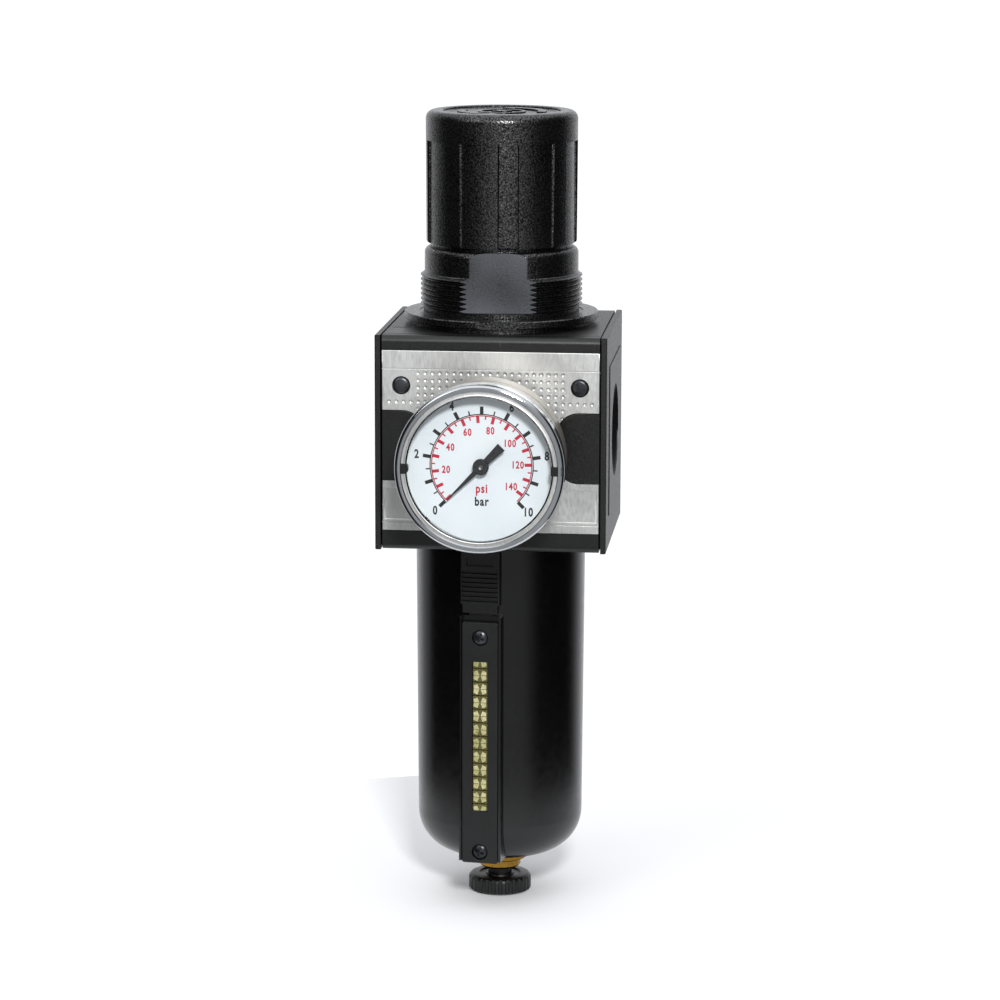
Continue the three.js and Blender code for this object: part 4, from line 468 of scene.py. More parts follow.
# %% Finishing a piece
def piece(bm, name, body, finish, slot, *nodes, sharp=30, bevel=0):
    """A bmesh in mm as an object in metres that stands for CAD nodes. It rides on a body, if one is given."""
    bmesh.ops.remove_doubles(bm, verts=bm.verts, dist=2e-4)
    bmesh.ops.scale(bm, vec=(MM, MM, MM), verts=bm.verts)
    mesh = bpy.data.meshes.new(name)
    bm.to_mesh(mesh)
    bm.free()
    mesh.shade_smooth()
    mesh.set_sharp_from_angle(angle=math.radians(sharp))
    for coat in finish if isinstance(finish, tuple) else (finish,):
        mesh.materials.append(coat)
    made = bpy.data.objects.new(name, mesh)
    stage_view.collection.objects.link(made)
    if bevel:
        edge = made.modifiers.new("edge", "BEVEL")
        edge.width, edge.segments, edge.limit_method = bevel * MM, 2, "ANGLE"
        edge.angle_limit, edge.harden_normals = math.radians(sharp + 5), True
    made.modifiers.new("shading", "WEIGHTED_NORMAL").keep_sharp = True
    if body:
        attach(made, body)
    if nodes:
        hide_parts(*nodes)
    open_edges = sum(1 for count in edge_use(mesh) if count != 2)
    print(f"{name}: {len(mesh.polygons)} faces, {open_edges} open edges")
    return made


def edge_use(mesh):
    """How many faces use each edge, 2 all over on a closed shape."""
    used = [0] * len(mesh.edges)
    for loop in mesh.loops:
        used[loop.edge_index] += 1
    return used

# %% [markdown]
# ## The ported body
# The block is a machined casting. Its CAD mesh has the right faces but its two pipe ports
# are coarse polygons, so a merged copy of it is cut again with a fine threaded cutter:
# a turned shape whose rim goes in and out once per thread. The result is a ringed
# relief in the bore, which shows in the port on the right.

# %% Casting with threaded ports
PORT_FACE = 35.55
PORT_CREST, PORT_ROOT, PORT_PITCH, PORT_TURNS = 12.12, 13.2, 1.814, 8


def port_cutter():
    """The tapped hole as a solid along Z, from its mouth at 0 down to its floor."""
    rim = [(0, 0.5), (14.3, 0.5), (14.3, -0.6), (PORT_CREST, -2.2)]
    for i in range(PORT_TURNS):
        z = -2.4 - i * PORT_PITCH
        rim += [(PORT_CREST, z), (PORT_ROOT, z - 0.75), (PORT_ROOT, z - 0.95), (PORT_CREST, z - 1.7)]
    rim += [(PORT_CREST, -17.9), (0, -17.9)]
    return turned(rim, 96)


def copy_of(node):
    """A CAD node's mesh as a merged bmesh in mm."""
    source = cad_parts[node]
    bm = bmesh.new()
    bm.from_mesh(source.data)
    bmesh.ops.transform(bm, matrix=source.matrix_world, verts=bm.verts)
    bmesh.ops.scale(bm, vec=(1 / MM, 1 / MM, 1 / MM), verts=bm.verts)
    bmesh.ops.remove_doubles(bm, verts=bm.verts, dist=1e-3)
    bmesh.ops.dissolve_limit(bm, angle_limit=math.radians(0.5), verts=bm.verts, edges=bm.edges)
    return bm


ports = [moved(port_cutter(), shift(s * PORT_FACE, 0, 0) @ turn(s * 90, "Y")) for s in (1, -1)]
casting = carved(copy_of("body"), joined(ports))
soften(casting, 0.35, lambda p: abs(p.x) > 35.0 and (abs(p.y) > 33 or abs(p.z) > 32.8), 2)
piece(casting, "casting", "housing", cast_paint, "casting_black", "body")

# %% [markdown]
# ## Covers, front plate and pins
# The moulded front cover is a side outline pulled across the block: two rounded bands
# with a flat between them, where the plate lies. The plate is a thin sheet stamped with
# rows of small dimples. Each dimple is a low ball pressed in with one Boolean, and the
# rows leave a margin round the pins, the side notches and the gauge.

# %% Outlines of the front
HALF, FRONT_Y, PLATE_BACK, COVER_BACK = 33.0, -33.2, -31.25, -29.25
GAUGE_Z, GAUGE_HOLE = -2.0, 9.9
NOTCH_TOP, NOTCH_BOTTOM = 10.2, -11.6
BAND_TOP, BAND_BOTTOM = 28.45, -26.95
PIN_X, PIN_Z = 27.1, 17.75


def notch(side, grow, edge):
    """The outline of a side notch of the plate, out to an edge."""
    high, low = NOTCH_TOP + grow, NOTCH_BOTTOM - grow
    wide, tall = 6.4 + grow, 5.85
    upper = [(26.8 + wide * u, high - tall + tall * v) for u, v in arc(0, 0, 1, 90, 180, 10)]
    lower = [(26.8 + wide * u, low + tall + tall * v) for u, v in arc(0, 0, 1, 180, 270, 10)]
    return [(side * x, z) for x, z in [(edge, low), (edge, high), *upper, *lower]]


def round_hole(x, z, radius, near, far, steps=48):
    """A round bar along Y, for cutting holes."""
    return slab(arc(x, z, radius, 0, 360 - 360 / steps, steps - 1), near, far)


# %% Front cover
band = [(COVER_BACK, 32.95), *arc(-31.2, 30.95, 2, 90, 180), (FRONT_Y, BAND_TOP + 0.05),
        (PLATE_BACK, BAND_TOP + 0.05), (PLATE_BACK, BAND_BOTTOM - 0.05), (FRONT_Y, BAND_BOTTOM - 0.05),
        *arc(-31.2, -30.95, 2, 180, 270), (COVER_BACK, -32.95)]
cover = slab(band, -HALF, HALF, "X")
pads = joined([slab(notch(s, -0.15, 33), FRONT_Y + 0.6, PLATE_BACK + 0.2) for s in (-1, 1)])
soften(pads, 0.45, lambda p: p.y < FRONT_Y + 0.7 and abs(p.x) < 32.9, 3)
cover = carved(cover, pads, "UNION")
holes = [round_hole(0, GAUGE_Z, GAUGE_HOLE, FRONT_Y - 1, COVER_BACK + 1)]
holes += [round_hole(s * PIN_X, PIN_Z, 1.75, FRONT_Y, COVER_BACK + 1) for s in (-1, 1)]
# A fine parting line of the tool runs over both bands.
holes += [block((2.9, 3.05), (-34, -33.1), reach) for reach in ((BAND_TOP, 34), (-34, BAND_BOTTOM))]
cover = carved(cover, joined(holes))
piece(cover, "front_moulding", "housing", moulded_nylon, "moulding_black", "front_cover")

# %% Dimples of the plate
PITCH, DIMPLE = 2.2, 0.84


def dimple_spots():
    """Places of the dimples on the plate, in rows, clear of its pins, notches and gauge."""
    places = []
    for row in range(22):
        z = 21.6 - row * PITCH
        for column in range(-14, 15):
            x = column * PITCH
            near_pin = max(abs(abs(x) - PIN_X), abs(z - PIN_Z)) < 4.3
            in_notch = abs(x) > 18.6 and NOTCH_BOTTOM - 1.1 < z < NOTCH_TOP + 1.1
            in_notch = in_notch and not (abs(x) < 22.5 and z > NOTCH_TOP - 2.5)
            behind_gauge = math.hypot(x, z - GAUGE_Z) < 15
            off_field = abs(x) > 32 or z < -12.2
            if not (near_pin or in_notch or behind_gauge or off_field):
                places.append((x, z))
    return places


spots = dimple_spots()
balls = []
for x, z in spots:
    ball = bmesh.new()
    bmesh.ops.create_icosphere(ball, subdivisions=1, radius=DIMPLE)
    balls.append(moved(ball, shift(x, FRONT_Y - 0.18, z)))
print("dimples:", len(spots))

# %% Front plate
plate = block((-HALF, HALF), (FRONT_Y, PLATE_BACK - 0.05), (BAND_BOTTOM, BAND_TOP))
soften(plate, 0.25, lambda p: p.y < FRONT_Y + 0.1, 2)
through = (FRONT_Y - 1, PLATE_BACK + 1)
cuts = [slab(notch(s, 0, 34), *through) for s in (-1, 1)]
cuts += [round_hole(s * PIN_X, PIN_Z, 2.8, *through) for s in (-1, 1)]
cuts += [round_hole(0, GAUGE_Z, GAUGE_HOLE, *through)]
recess = block((-32.4, 32.4), (FRONT_Y - 1, FRONT_Y + 0.35), (-23.6, -13.5))
cuts.append(soften(recess, 0.3, lambda p: p.y > FRONT_Y + 0.34, 2))
cuts += [block((-34, 34), (FRONT_Y - 1, FRONT_Y + 0.3), (z, z + 0.4)) for z in (22.6, -24.55)]
plate = carved(carved(plate, joined(cuts)), joined(balls))
piece(plate, "satin_front_plate", "housing", satin_zinc, "zinc_plate", "front_plate", sharp=48)

# %% Plate pins
for side, node in ((-1, "plate_pin_left"), (1, "plate_pin_right")):
    pin = turned([(0, 0.25), (1.7, 0.2), (2.3, 0.05), (2.6, -0.3), (2.65, -1.9), (1.6, -1.9), (1.6, -3.9),
                  (0, -3.9)], 48)
    pin = moved(pin, shift(side * PIN_X, FRONT_Y, PIN_Z) @ turn(90, "X"))
    piece(pin, node + "_domed", "housing", black_oxide, "moulding_black", node, sharp=50)

# %% Back cover and rear plug
band = [(-COVER_BACK, -32.95), *arc(31.2, -30.95, 2, 270, 360), *arc(31.2, 30.95, 2, 0, 90),
        (-COVER_BACK, 32.95)]
cover = slab(band, -HALF, HALF, "X")
line_depth = (-FRONT_Y - 0.4, 35)
cuts = [round_hole(0, GAUGE_Z, GAUGE_HOLE, 20, 40)]
cuts += [block((-30, 30), line_depth, (z, z + 0.6)) for z in (-26.5, 26)]
cuts += [block((x, x + 0.6), line_depth, (-26.5, 26.6)) for x in (-30, 29.4)]
cover = carved(cover, joined(cuts))
piece(cover, "back_moulding", "housing", moulded_nylon, "moulding_black", "back_cover")

plug = turned([(0, -8), (5.2, -8), (5.6, -7.6), (5.6, 0.05), (8.6, 0.05), (8.6, 1.9), (8.1, 2.4),
               (0, 2.4)], 64)
key = slab(arc(0, 0, 3 / math.cos(math.pi / 6), 0, 300, 5), -4, 4, "Z")
plug = moved(carved(plug, key), shift(0, 33.4, GAUGE_Z) @ turn(-90, "X"))
piece(plug, "rear_socket_plug", "housing", plated_steel, "steel", "rear_plug")

# %% [markdown]
# ## Bonnet
# The bonnet is one turned outline: skirt, flange, seven thread ridges, a neck with a
# rounded shoulder and a tower inside the knob. Two spanner flats are milled across the
# thread and neck, so the thread ends at them in a row of teeth.

# %% Bonnet
CREST, ROOT, THREAD_FOOT, THREAD_PITCH, THREAD_TURNS = 25.0, 24.08, 38.3, 1.5, 7
BONNET_TURN = 3
FLAT_Y = 22.1
ridges = []
for i in range(THREAD_TURNS):
    z = THREAD_FOOT + i * THREAD_PITCH
    ridges += [(ROOT, z), (ROOT, z + 0.15), (CREST, z + 0.68), (CREST, z + 0.82), (ROOT, z + 1.35)]
outline = [(18.15, 21.55), (24.0, 21.55), (24.0, 33), (27, 33), (27, 34.6), (29.7, 34.6), (30, 34.9),
           (30, 36.6), (29.7, 36.9), (25.3, 36.9), (25.3, 36.7), (ROOT, 36.7), *ridges, (ROOT, 48.8),
           (23.75, 49.1), *arc(21.75, 54.9, 2, 0, 90), (20.4, 56.9), (20.4, 72.2), (20.1, 72.5),
           (5.31, 72.5), (5.31, 65.8), (18.15, 65.8)]
neck = turned(outline, 144)
tools = [moved(block((-60, 60), (-60, -29.3), (34, 37.5)), turn(a)) for a in (0, 180)]
tools += [moved(block((-60, 60), (-60, -FLAT_Y), (38.6, 58)), turn(a)) for a in (0, 180)]
tools.append(block((-19.35, 19.35), (-2.5, 2.5), (20, 65.8)))
tools += [moved(block((19.4, 22), (-0.8, 0.8), (67, 74)), turn(i * 30)) for i in range(12)]
neck = carved(neck, joined(tools))
for face in neck.faces:
    if abs(abs(face.calc_center_median().y) - FLAT_Y) < 0.01:
        face.material_index = 1
neck = moved(neck, turn(BONNET_TURN))
piece(neck, "bonnet_turned", "housing", (eroded_acetal, milled_acetal), "grained_black", "bonnet", sharp=28)

# %% [markdown]
# ## Knob
# The knob is a turned cup whose rim is rounded. Eight wide panels are sunk into its
# side below a plain band, and the ribs that stay between them give the grip. The panels
# are slices of a ring, so their floors follow the round of the knob.

# %% Knob shell
KNOB_TURN, KNOB_FOOT, KNOB_TOP, KNOB_R = 10.6, 58.0, 98.6, 23.4
PANELS, PANEL_TOP, PANEL_SPAN, PANEL_FLOOR, RIB_SLOPE = 8, 89.6, 28.8, 22.5, 1.6


def ring_slice(inner, outer, low, high, span, steps=14):
    """A slice of a ring about Z, centred on +X."""
    rim = arc(0, 0, outer, -span / 2, span / 2, steps) + arc(0, 0, inner, span / 2, -span / 2, steps)
    return slab(rim, low, high, "Z")


outline = [(20.8, KNOB_FOOT), *arc(22.4, 58.8, 0.8, 270, 360, 4), *arc(20.9, 96.1, 2.5, 0, 90, 8),
           (18.4, KNOB_TOP), (18.1, 98.3), (18.1, 97.4), (0, 97.4), (0, 73.8), (8.8, 73.8), (8.8, 94.2),
           (20.8, 94.2)]
shell = turned(outline, 160)


def panel_cutter():
    """A slice that sinks one panel and leaves a small slope on the ribs beside it."""
    half, flare = PANEL_SPAN / 2, PANEL_SPAN / 2 + RIB_SLOPE
    slope = [at(KNOB_R - 0.6, half), at(KNOB_R + 0.1, flare)]
    mirrored = [(x, -y) for x, y in reversed(slope)]
    rim = arc(0, 0, PANEL_FLOOR, -half, half, 14) + slope + arc(0, 0, 26, flare, -flare, 10) + mirrored
    return slab(rim, 50, PANEL_TOP, "Z")


panels = [moved(panel_cutter(), turn(-90 + (i + 0.5) * 360 / PANELS)) for i in range(PANELS)]
socket = slab(arc(0, 0, 4.65 / math.cos(math.pi / 6), 0, 300, 5), 70, 94.7, "Z")
shell = carved(shell, joined(panels + [socket]))
teeth = [moved(ring_slice(20.55, 21.2, 67.5, 72, 3, 2), turn(30 + i * 60)) for i in range(6)]
shell = moved(carved(shell, joined(teeth), "UNION"), turn(KNOB_TURN))
piece(shell, "knob_shell", "knob", eroded_acetal, "grained_black", "knob", sharp=35)

# %% [markdown]
# The disc in the knob's recess carries the turning signs: two bent arrows round a ring
# with a plus in it, all slightly raised. Each arrow is a slice of a ring with a
# triangular head. They are plain signs and stand for no maker.

# %% Knob disc with turning signs
DISC_TOP = 98.05
SIGN_ROOT = DISC_TOP - 0.3
disc = turned([(0, 97.45), (17.95, 97.45), (17.95, DISC_TOP - 0.15), (17.8, DISC_TOP), (16.8, DISC_TOP),
               (16.5, DISC_TOP - 0.2), (0, DISC_TOP - 0.2)], 128)
signs = []
for side in (0, 180):
    bow = ring_slice(11.2, 13.8, SIGN_ROOT, DISC_TOP + 0.3, 88, 20)
    head = slab([(9.8, -0.2), (15.1, -0.2), (12.45, 4.6)], SIGN_ROOT, DISC_TOP + 0.24, "Z")
    signs.append(joined([moved(bow, turn(side)), moved(head, turn(side + 44))]))
ring = turned([(6.2, SIGN_ROOT), (7.4, SIGN_ROOT), (7.4, DISC_TOP + 0.2), (6.2, DISC_TOP + 0.2)], 96)
plus = [block((-3.2, 3.2), (-0.6, 0.6), (SIGN_ROOT, DISC_TOP + 0.25)),
        block((-0.6, 0.6), (-3.2, 3.2), (SIGN_ROOT, DISC_TOP + 0.24))]
disc = moved(carved(disc, joined(signs + [ring] + plus), "UNION"), turn(KNOB_TURN + 20))
piece(disc, "knob_sign_disc", "knob", eroded_acetal, "grained_black", "knob_cap")

# %% [markdown]
# ## Pressure gauge
# The gauge is built facing up, as on a bench, and then laid over to face the front. Case,
# bezel and window are turned. The bezel is a rolled ring with a step and an inner lip.
# Two short black tabs show at its sides.

# %% Gauge case, bezel and window
LAID = shift(0, 0, GAUGE_Z) @ turn(90, "X")
CASE_BACK, RIM, BEZEL_FRONT, BEZEL_R, BEZEL_INNER = 38.2, 60.9, 65.9, 25.2, 23.2
TURNED_STEPS = 160

case = turned([(4.65, CASE_BACK), *arc(21.4, CASE_BACK + 2.5, 2.5, 270, 360, 8), (23.9, 47.8),
               (23.75, 48.0), (23.75, 48.5), (23.9, 48.7), (23.9, RIM), (22.9, RIM), (22.9, CASE_BACK + 1),
               (4.65, CASE_BACK + 1)], TURNED_STEPS)
piece(moved(case, LAID), "gauge_shell", "housing", warm_nickel, "chrome_trim", "gauge_case")

bezel = turned([(24.05, 59.4), (24.9, 59.4), (BEZEL_R, 59.7), (BEZEL_R, 60.5), (24.95, 60.8), (24.95, 61.2),
                (BEZEL_R, 61.5), *arc(24.0, BEZEL_FRONT - 1.2, 1.2, 0, 90, 8), (23.4, BEZEL_FRONT),
                (23.1, BEZEL_FRONT - 0.35), (22.5, BEZEL_FRONT - 0.35),
                *arc(22.1, BEZEL_FRONT - 0.6, 0.35, 60, 180, 4), (21.5, BEZEL_FRONT - 1),
                (21.5, BEZEL_FRONT - 2), (BEZEL_INNER, BEZEL_FRONT - 2), (BEZEL_INNER, 62.45),
                (24.05, 62.45)], TURNED_STEPS)
# The lip inside the roll is not polished, so its front faces are satin.
for face in bezel.faces:
    if face.normal.z > 0.9 and face.calc_center_median().xy.length < BEZEL_INNER:
        face.material_index = 1
piece(moved(bezel, LAID), "gauge_rolled_bezel", "housing", (bright_chrome, satin_zinc), "chrome_trim",
      "gauge_bezel")

depth = (63.9, BEZEL_FRONT - 0.02)
tabs = [slab([(-24.6, -1.5), (-21.0, -1.5), (-21.0, 1.5), (-24.6, 1.5)], *depth, "Z", 1.0),
        slab([(21.2, -1.4), (24.4, -1.4), (24.4, 1.4), (21.2, 1.4)], *depth, "Z", 0.25)]
piece(moved(joined(tabs), LAID), "gauge_bezel_tabs", "housing", moulded_nylon, "moulding_black")

pane = turned([(0, 62.45), (22.9, 62.45), (23.05, 62.6), (23.05, 63.7), (22.9, 63.85), (0, 63.85)], 96)
piece(moved(pane, LAID), "gauge_clear_window", "housing", window_acrylic, "window_clear", "gauge_window")

# %% [markdown]
# The dial is a lacquered disc printed in two colours. The print is real: thin plates a
# few hundredths of a millimetre thick, laid on the lacquer. Bar runs outside in black
# and psi inside in red. Both scales sweep 270 degrees from the lower left.

# %% Dial and its marks
FACE = 58.0
INK = (FACE - 0.01, FACE + 0.03)
BAR_IN_PSI = 14.5038


def dial_angle(bar):
    """Where a pressure stands on the dial, in degrees from its right."""
    return 225 - 27 * bar


def mark(inner, outer, width, angle):
    """A radial dash of the dial."""
    dash = block((inner, outer), (-width / 2, width / 2), INK)
    return moved(dash, turn(angle))


def curve_line(radius, width, start, end):
    """An arc line of the dial between two angles."""
    line = ring_slice(radius, radius + width, *INK, start - end, 90)
    return moved(line, turn((start + end) / 2))


dial = turned([(1.1, FACE - 0.5), (22.75, FACE - 0.5), (22.75, FACE), (1.1, FACE)], 128)
piece(moved(dial, LAID), "gauge_lacquered_dial", "housing", dial_lacquer, "dial_face", "gauge_dial")

black = [curve_line(15.2, 0.3, dial_angle(0), dial_angle(10))]
black += [mark(15.3, 17.7, 1.05, dial_angle(bar)) for bar in range(11)]
black += [mark(15.3, 16.7, 0.4, dial_angle(bar + 0.5)) for bar in range(10)]
red = [curve_line(14.75, 0.32, dial_angle(0), dial_angle(10))]
red += [mark(12.8, 14.9, 0.95, dial_angle(psi / BAR_IN_PSI)) for psi in range(0, 141, 10)]
red += [mark(13.8, 14.9, 0.4, dial_angle(psi / BAR_IN_PSI)) for psi in range(5, 145, 10)]


# %% Numbers of the dial
NARROW, BOLDER, SPACED = 0.74, 0.032, 1.18


def lettering(words, size, x, y):
    """Words in mm as a thin closed mesh, centred on a point of the dial."""
    curve = bpy.data.curves.new("words", "FONT")
    curve.body, curve.size, curve.extrude, curve.resolution_u = words, size, 0.02, 3
    curve.align_x, curve.align_y, curve.offset = "CENTER", "CENTER", BOLDER * size
    curve.space_character = SPACED
    held = bpy.data.objects.new("words", curve)
    stage_view.collection.objects.link(held)
    ready = held.evaluated_get(bpy.context.evaluated_depsgraph_get())
    plain = bpy.data.meshes.new_from_object(ready)
    bm = bmesh.new()
    bm.from_mesh(plain)
    bpy.data.meshes.remove(plain)
    bpy.data.curves.remove(curve)
    bmesh.ops.remove_doubles(bm, verts=bm.verts, dist=1e-4)
    return moved(bm, shift(x, y, FACE + 0.01) @ Matrix.Diagonal((NARROW, 1, 1, 1)))


black += [lettering(str(bar), 3.6, *at(19.6, dial_angle(bar))) for bar in range(0, 11, 2)]
black.append(lettering("bar", 3.7, 0, -10.9))
red += [lettering(str(psi), 3.0, *at(10.7, dial_angle(psi / BAR_IN_PSI))) for psi in range(20, 141, 20)]
red.append(lettering("psi", 3.7, 0, -7.0))
piece(moved(joined(black), LAID), "dial_print_black", "housing", black_ink, "pointer_black")
piece(moved(joined(red), LAID), "dial_print_red", "housing", red_ink, "dial_face")

# %% Pointer
POINTER = (60.3, 60.9)
needle = slab([(-8.6, 1.45), (-8.6, -1.45), (-1.5, -0.95), (2.4, -0.75), (14.2, -0.12), (14.2, 0.12),
               (2.4, 0.75), (-1.5, 0.95)], *POINTER, "Z")
soften(needle, 0.12, lambda p: p.z > POINTER[1] - 0.01, 2)
hub = turned([(0.85, 59.9), (2.4, 59.9), (2.4, 61.1), (2.1, 61.4), (0.85, 61.4)], 48)
cap = turned([(0, 60.65), (0.85, 60.65), (0.85, 61.5), *arc(0, 61.5, 0.85, 0, 90, 4)[1:-1], (0, 62.1)], 24)
whole = moved(joined([needle, hub]), LAID @ turn(225))
piece(whole, "tapered_pointer", "pointer", anodised_black, "pointer_black", "gauge_pointer")
piece(moved(cap, LAID), "pointer_arbor_tip", "pointer", plated_steel, "steel")

# %% [markdown]
# ## Bowl
# The bowl is one drawn metal cup: a turned wall with a rounded foot, a neck with three
# bayonet lugs that go up into the body, and a flat rib in front for the sight glass. The
# outside shapes are joined first and the hollow is cut last, so no wall is left inside.

# %% Bowl
BOWL_TURN = -7
BOWL_TOP, STRAIGHT_END, BOWL_BOTTOM = -33.4, -122.0, -135.0
RIB_TOP, RIB_BOTTOM, RIB_FRONT, RIB_FLOOR, RAIL_FRONT = -54.4, -132.2, 29.0, 27.05, 26.9
outside = turned([(0, -136.4), (8.8, -136.4), (10.6, -135.2), (10.6, BOWL_BOTTOM),
                  *arc(12.85, STRAIGHT_END, 13, 270, 360, 14), (26.44, BOWL_TOP - 0.6), (25.9, BOWL_TOP),
                  (24.6, BOWL_TOP), (24.6, -24.6), (23.1, -24.6), (23.1, -22.2), (24.6, -22.2),
                  (24.6, -20.0), (24.1, -19.5), (0, -19.5)], 128)
rib = block((-6.65, 6.65), (-RIB_FRONT, -20), (RIB_BOTTOM, RIB_TOP))
soften(rib, 0.3, lambda p: p.y < -RIB_FRONT + 0.01, 2)
soften(rib, 0.5, lambda p: p.z < RIB_BOTTOM + 0.01 and p.y < -22, 2)
rail = block((-3.8, 3.8), (-RAIL_FRONT, -20), (RIB_TOP - 1, BOWL_TOP - 0.6))
lugs = [moved(ring_slice(23.6, 26.9, -30.2, -26.9, 30, 8), turn(i * 120)) for i in range(3)]
shape = carved(outside, joined([rib, rail] + lugs), "UNION")

inside = turned([(0, -138), (5.75, -138), (5.75, -132.6), *arc(12.85, STRAIGHT_END, 10.6, 270, 360, 10),
                 (24.05, -36.4), (21.8, BOWL_TOP), (21.8, -18), (0, -18)], 96)
SCREW_Z = (-61.0, -129.1)
# The hollow, the bed of the strip, the glass's seat and window, and the latch's slot.
cuts = [inside, block((-5.85, 5.85), (-31, -RIB_FLOOR), (RIB_BOTTOM - 1, RIB_TOP + 1)),
        block((-4.25, 4.25), (-28, -24.95), (-120.1, -64.3)),
        block((-2.9, 2.9), (-26, -22), (-117.65, -66.75)),
        block((-1.6, 1.6), (-29, -25.1), (BOWL_TOP - 19.6, BOWL_TOP - 6))]
cuts += [round_hole(0, z, 1.25, -29, -24.2, 16) for z in SCREW_Z]
shape = moved(carved(shape, joined(cuts)), turn(BOWL_TURN))
piece(shape, "bowl_enamelled", "bowl", bowl_enamel, "bowl_paint", "bowl", sharp=28)

# %% [markdown]
# ## Latch, cover strip and sight glass
# The latch is a moulded slide that has to be pulled down to free the bowl. Seven finger
# grooves cross it below a small window. The strip under it is held by two cross-recess
# screws and frames the sight glass.

# %% Latch
LATCH_TOP, LATCH_FOOT = -33.5, -53.2
side = [(5.55, LATCH_FOOT), (5.55, LATCH_FOOT + 2.4), (6.15, LATCH_FOOT + 2.6), (6.15, LATCH_TOP)]
latch = slab(side + [(-x, z) for x, z in reversed(side)], -29, -27.25)
soften(latch, 0.3, lambda p: p.y < -28.99, 2)
across = []
for i in range(7):
    z = LATCH_TOP - 6.7 - i * 1.45
    groove = [(-30, z + 0.1), (-28.4, z + 0.1), (-28.4, z - 0.55), (-29.1, z - 0.8), (-30, z - 0.8)]
    across.append(slab(groove, -5.6, 5.6, "X"))
pocket = block((-4.2, 4.2), (-30, -28.4), (LATCH_TOP - 5.1, LATCH_TOP - 2.4))
latch = carved(latch, joined(across + [pocket]))
backs = [block((x - 1.05, x + 1.05), (-27.45, -26.3), (LATCH_FOOT + 2.5, LATCH_TOP)) for x in (-5.1, 5.1)]
backs.append(block((-1.3, 1.3), (-27.45, -25.4), (LATCH_TOP - 8.25, LATCH_TOP - 6.25)))
latch = moved(carved(latch, joined(backs), "UNION"), turn(BOWL_TURN))
piece(latch, "grooved_latch", "latch", moulded_nylon, "moulding_black", "bowl_latch", sharp=28)

# %% Cover strip
COVER_TOP, COVER_BOTTOM, WINDOW_TOP, WINDOW_BOTTOM = -56.1, -132.7, -68.45, -115.95
strip = slab([(-5.7, COVER_TOP), (-5.7, COVER_BOTTOM), (0, COVER_BOTTOM), (5.7, COVER_BOTTOM),
              (5.7, COVER_TOP)], -29, -27.15)
corners = [e for e in strip.edges if abs(e.verts[0].co.z - e.verts[1].co.z) < 0.01
           and abs(e.verts[0].co.y - e.verts[1].co.y) > 1 and abs(e.verts[0].co.x) > 5]
bmesh.ops.bevel(strip, geom=corners, offset=0.7, segments=4, profile=0.5, affect="EDGES", material=-1)
soften(strip, 0.35, lambda p: p.y < -28.99, 3)
cuts = [block((-2.42, 2.42), (-30, -26), (WINDOW_BOTTOM, WINDOW_TOP))]
cuts += [round_hole(0, z, 2.5, -30, -27.9, 40) for z in SCREW_Z]
cuts += [round_hole(0, z, 1.25, -28.5, -26, 16) for z in SCREW_Z]
strip = moved(carved(strip, joined(cuts)), turn(BOWL_TURN))
piece(strip, "sight_cover_strip", "bowl", phosphated_steel, "moulding_black", "sight_cover", bevel=0.12)

# %% Cover screws
for z, node in zip(SCREW_Z, ("cover_screw_upper", "cover_screw_lower")):
    crown = arc(0, -3.7, 4, 52, 84, 6)[1:]
    screw = turned([(0, -4.45), (1.1, -4.45), (1.1, -1.05), (2.3, -1.05), (2.3, -0.5), *crown, (0, 0.1)], 40)
    cross = [block((-1.4, 1.4), (-0.33, 0.33), (-0.8, 1)), block((-0.33, 0.33), (-1.4, 1.4), (-0.79, 1.1))]
    laid = turn(BOWL_TURN) @ shift(0, -29, z) @ turn(20, "Y") @ turn(90, "X")
    screw = moved(carved(screw, joined(cross)), laid)
    piece(screw, node + "_crossed", "bowl", black_oxide, "steel", node)

# %% Prism bar
# Cells of 4.3 mm follow each other down the bar, the first and last half as long, with a
# groove between them. Each cell has four leaning facets round its middle, painted pale gold as a painted
# highlight.
CELL = 4.3
BAR_TOP, BAR_FRONT, FACET_LEAN = WINDOW_TOP - 0.15, -28.4, 9
bar = block((-2.27, 2.27), (BAR_FRONT, -26.8), (WINDOW_BOTTOM + 0.15, BAR_TOP))
grooves = []
painted_glints = []
level = BAR_TOP - CELL / 2
while level > WINDOW_BOTTOM:
    grooves.append(slab([(-28.9, level + 0.35), (-27.7, level), (-28.9, level - 0.35)], -3, 3, "X"))
    level -= CELL
middle = BAR_TOP
while middle > WINDOW_BOTTOM:
    for side in (-1, 1):
        for up in (-1, 1):
            if WINDOW_BOTTOM + 0.4 < middle + up < WINDOW_TOP - 0.4:
                face = [(side * 0.2, middle + up * 0.12), (side * 0.8, middle + up * 1.7),
                        (side * 2.0, middle + up * 1.2), (side * 1.9, middle + up * 0.12)]
                lean = shift(0, BAR_FRONT, middle) @ turn(up * FACET_LEAN, "X")
                painted_glints.append(moved(slab(face, -28.6, -28.35), lean @ shift(0, -BAR_FRONT, -middle)))
    middle -= CELL
bar = carved(bar, joined(grooves))
flange = block((-4.1, 4.1), (-27.0, -25.65), (-119.95, -64.45))
bar = moved(carved(bar, flange, "UNION"), turn(BOWL_TURN))
piece(bar, "prism_bar", "bowl", amber_prism, "sight_prism", "sight_glass", sharp=15)
# The leaning facets carry the painted highlight: a pale gold finish that stands in for the light they send
# back.
painted_glints = moved(joined(painted_glints), turn(BOWL_TURN))
piece(painted_glints, "prism_faces_painted_glint", "bowl", painted_glint_finish, "sight_prism", sharp=15)

# %% [markdown]
# ## Drain
# A brass collar under the bowl carries a sprung stem with a fluted hand wheel. The flutes
# are rounded valleys cut by a row of bars set round the rim.

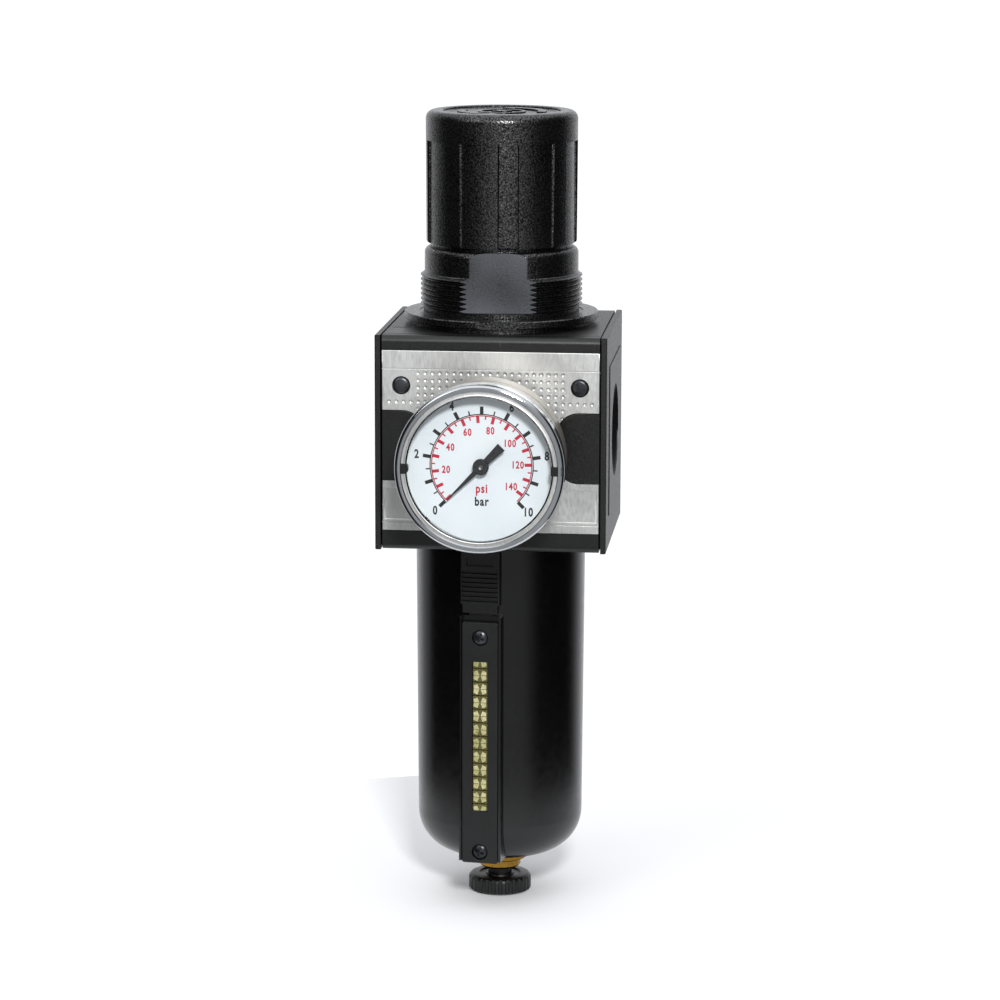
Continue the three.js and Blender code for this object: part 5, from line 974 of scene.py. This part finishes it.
# %% Drain collar, stem and wheel
collar = turned([(3.84, -141.2), (4.4, -141.2), (5.9, -141.2), (6.6, -140.5), (6.6, -138.6), (6.9, -138.1),
                 (8.45, -138.1), (8.75, -137.8), (8.75, -136.75), (8.45, -136.45), (5.6, -136.45),
                 (5.6, -132.55), (5, -132.55), (5, -128.55), (2.6, -128.55), (2.6, -132.85),
                 (3.84, -132.85)], 96)
piece(collar, "brass_drain_collar", "bowl", turned_brass, "brass", "drain_body")

stem = turned([(0, -148.75), (2.9, -148.75), (2.9, -143.55), (3.78, -143.55), (3.78, -135.45),
               (1.7, -135.45), (1.7, -126.9), (3, -126.9), (3, -125.7), (0, -125.7)], 64)
vent = turned([(0, -150), (0.8, -150), (0.8, -130), (0, -130)], 24)
stem = carved(stem, vent)
piece(stem, "drain_pin", "drain_stem", anodised_black, "steel", "drain_stem")

WHEEL_TOP, WHEEL_BOTTOM, WHEEL_R, FLUTES = -143.6, -149.05, 9.85, 28
wheel = turned([(2.96, WHEEL_BOTTOM), (8.6, WHEEL_BOTTOM), (WHEEL_R, WHEEL_BOTTOM + 0.8),
                (WHEEL_R, WHEEL_TOP - 1.2), (9.3, WHEEL_TOP - 0.4), (8.7, WHEEL_TOP - 0.1), (6.6, WHEEL_TOP),
                (6.3, WHEEL_TOP - 0.5), (4.6, WHEEL_TOP - 0.5), (4.3, WHEEL_TOP), (2.96, WHEEL_TOP)], 112)
flutes = []
for i in range(FLUTES):
    flute = bmesh.new()
    bmesh.ops.create_cone(flute, cap_ends=True, segments=12, radius1=0.72, radius2=0.72, depth=9)
    flutes.append(moved(flute, turn((i + 0.5) * 360 / FLUTES) @ shift(10.05, 0, WHEEL_TOP - 3)))
wheel = carved(wheel, joined(flutes))
piece(wheel, "fluted_drain_wheel", "drain_wheel", moulded_nylon, "moulding_black", "drain_wheel", sharp=40)

# %% [markdown]
# ## Springs and the diaphragm
# A coil keeps its CAD shape. Each spring is a copy of its CAD mesh in zinc-plated steel,
# baked in place. The rubber diaphragm is a copy of its CAD mesh in nitrile rubber, carried by the housing.


# %% Springs copied from the CAD model
def coil(name, node):
    """A spring copied from its CAD node in plated steel, its placing baked into the mesh."""
    spring = piece(copy_of(node), name, None, plated_steel, "steel", node, sharp=40)
    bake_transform(spring)


coil("range_coil", "range_spring")
coil("valve_coil", "valve_spring")
coil("drain_coil", "drain_spring")
coil("latch_coil", "latch_spring")

rubber = piece(copy_of("diaphragm"), "rubber_diaphragm", "housing", nitrile_rubber, "rubber", "diaphragm",
               sharp=40)
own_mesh(rubber)

# %% [markdown]
# ## Hidden pieces
# The other pieces inside keep their CAD shapes. Each node still gets the finish of its
# real material, because an assembly view or a section shows it.

# %% Finishes of the CAD nodes that stay
kept = {
    plated_steel: ("adjusting_spindle", "thrust_washer"),
    turned_brass: ("gauge_socket", "gauge_pinion", "gauge_movement", "gauge_sector", "bourdon_tube",
                   "spring_nut", "relief_seat", "valve_poppet"),
    nitrile_rubber: ("poppet_seal", "bowl_ring", "sight_gasket", "drain_seal"),
    satin_zinc: ("diaphragm_plate",),
    natural_acetal: ("slip_ring", "valve_carrier"),
    moulded_nylon: ("swirl_deflector", "baffle", "filter_nut"),
    sintered_media: ("filter_element",),
}
for finish, nodes in kept.items():
    for node in nodes:
        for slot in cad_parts[node].material_slots:
            slot.material = finish
print("kept nodes:", sum(len(nodes) for nodes in kept.values()))
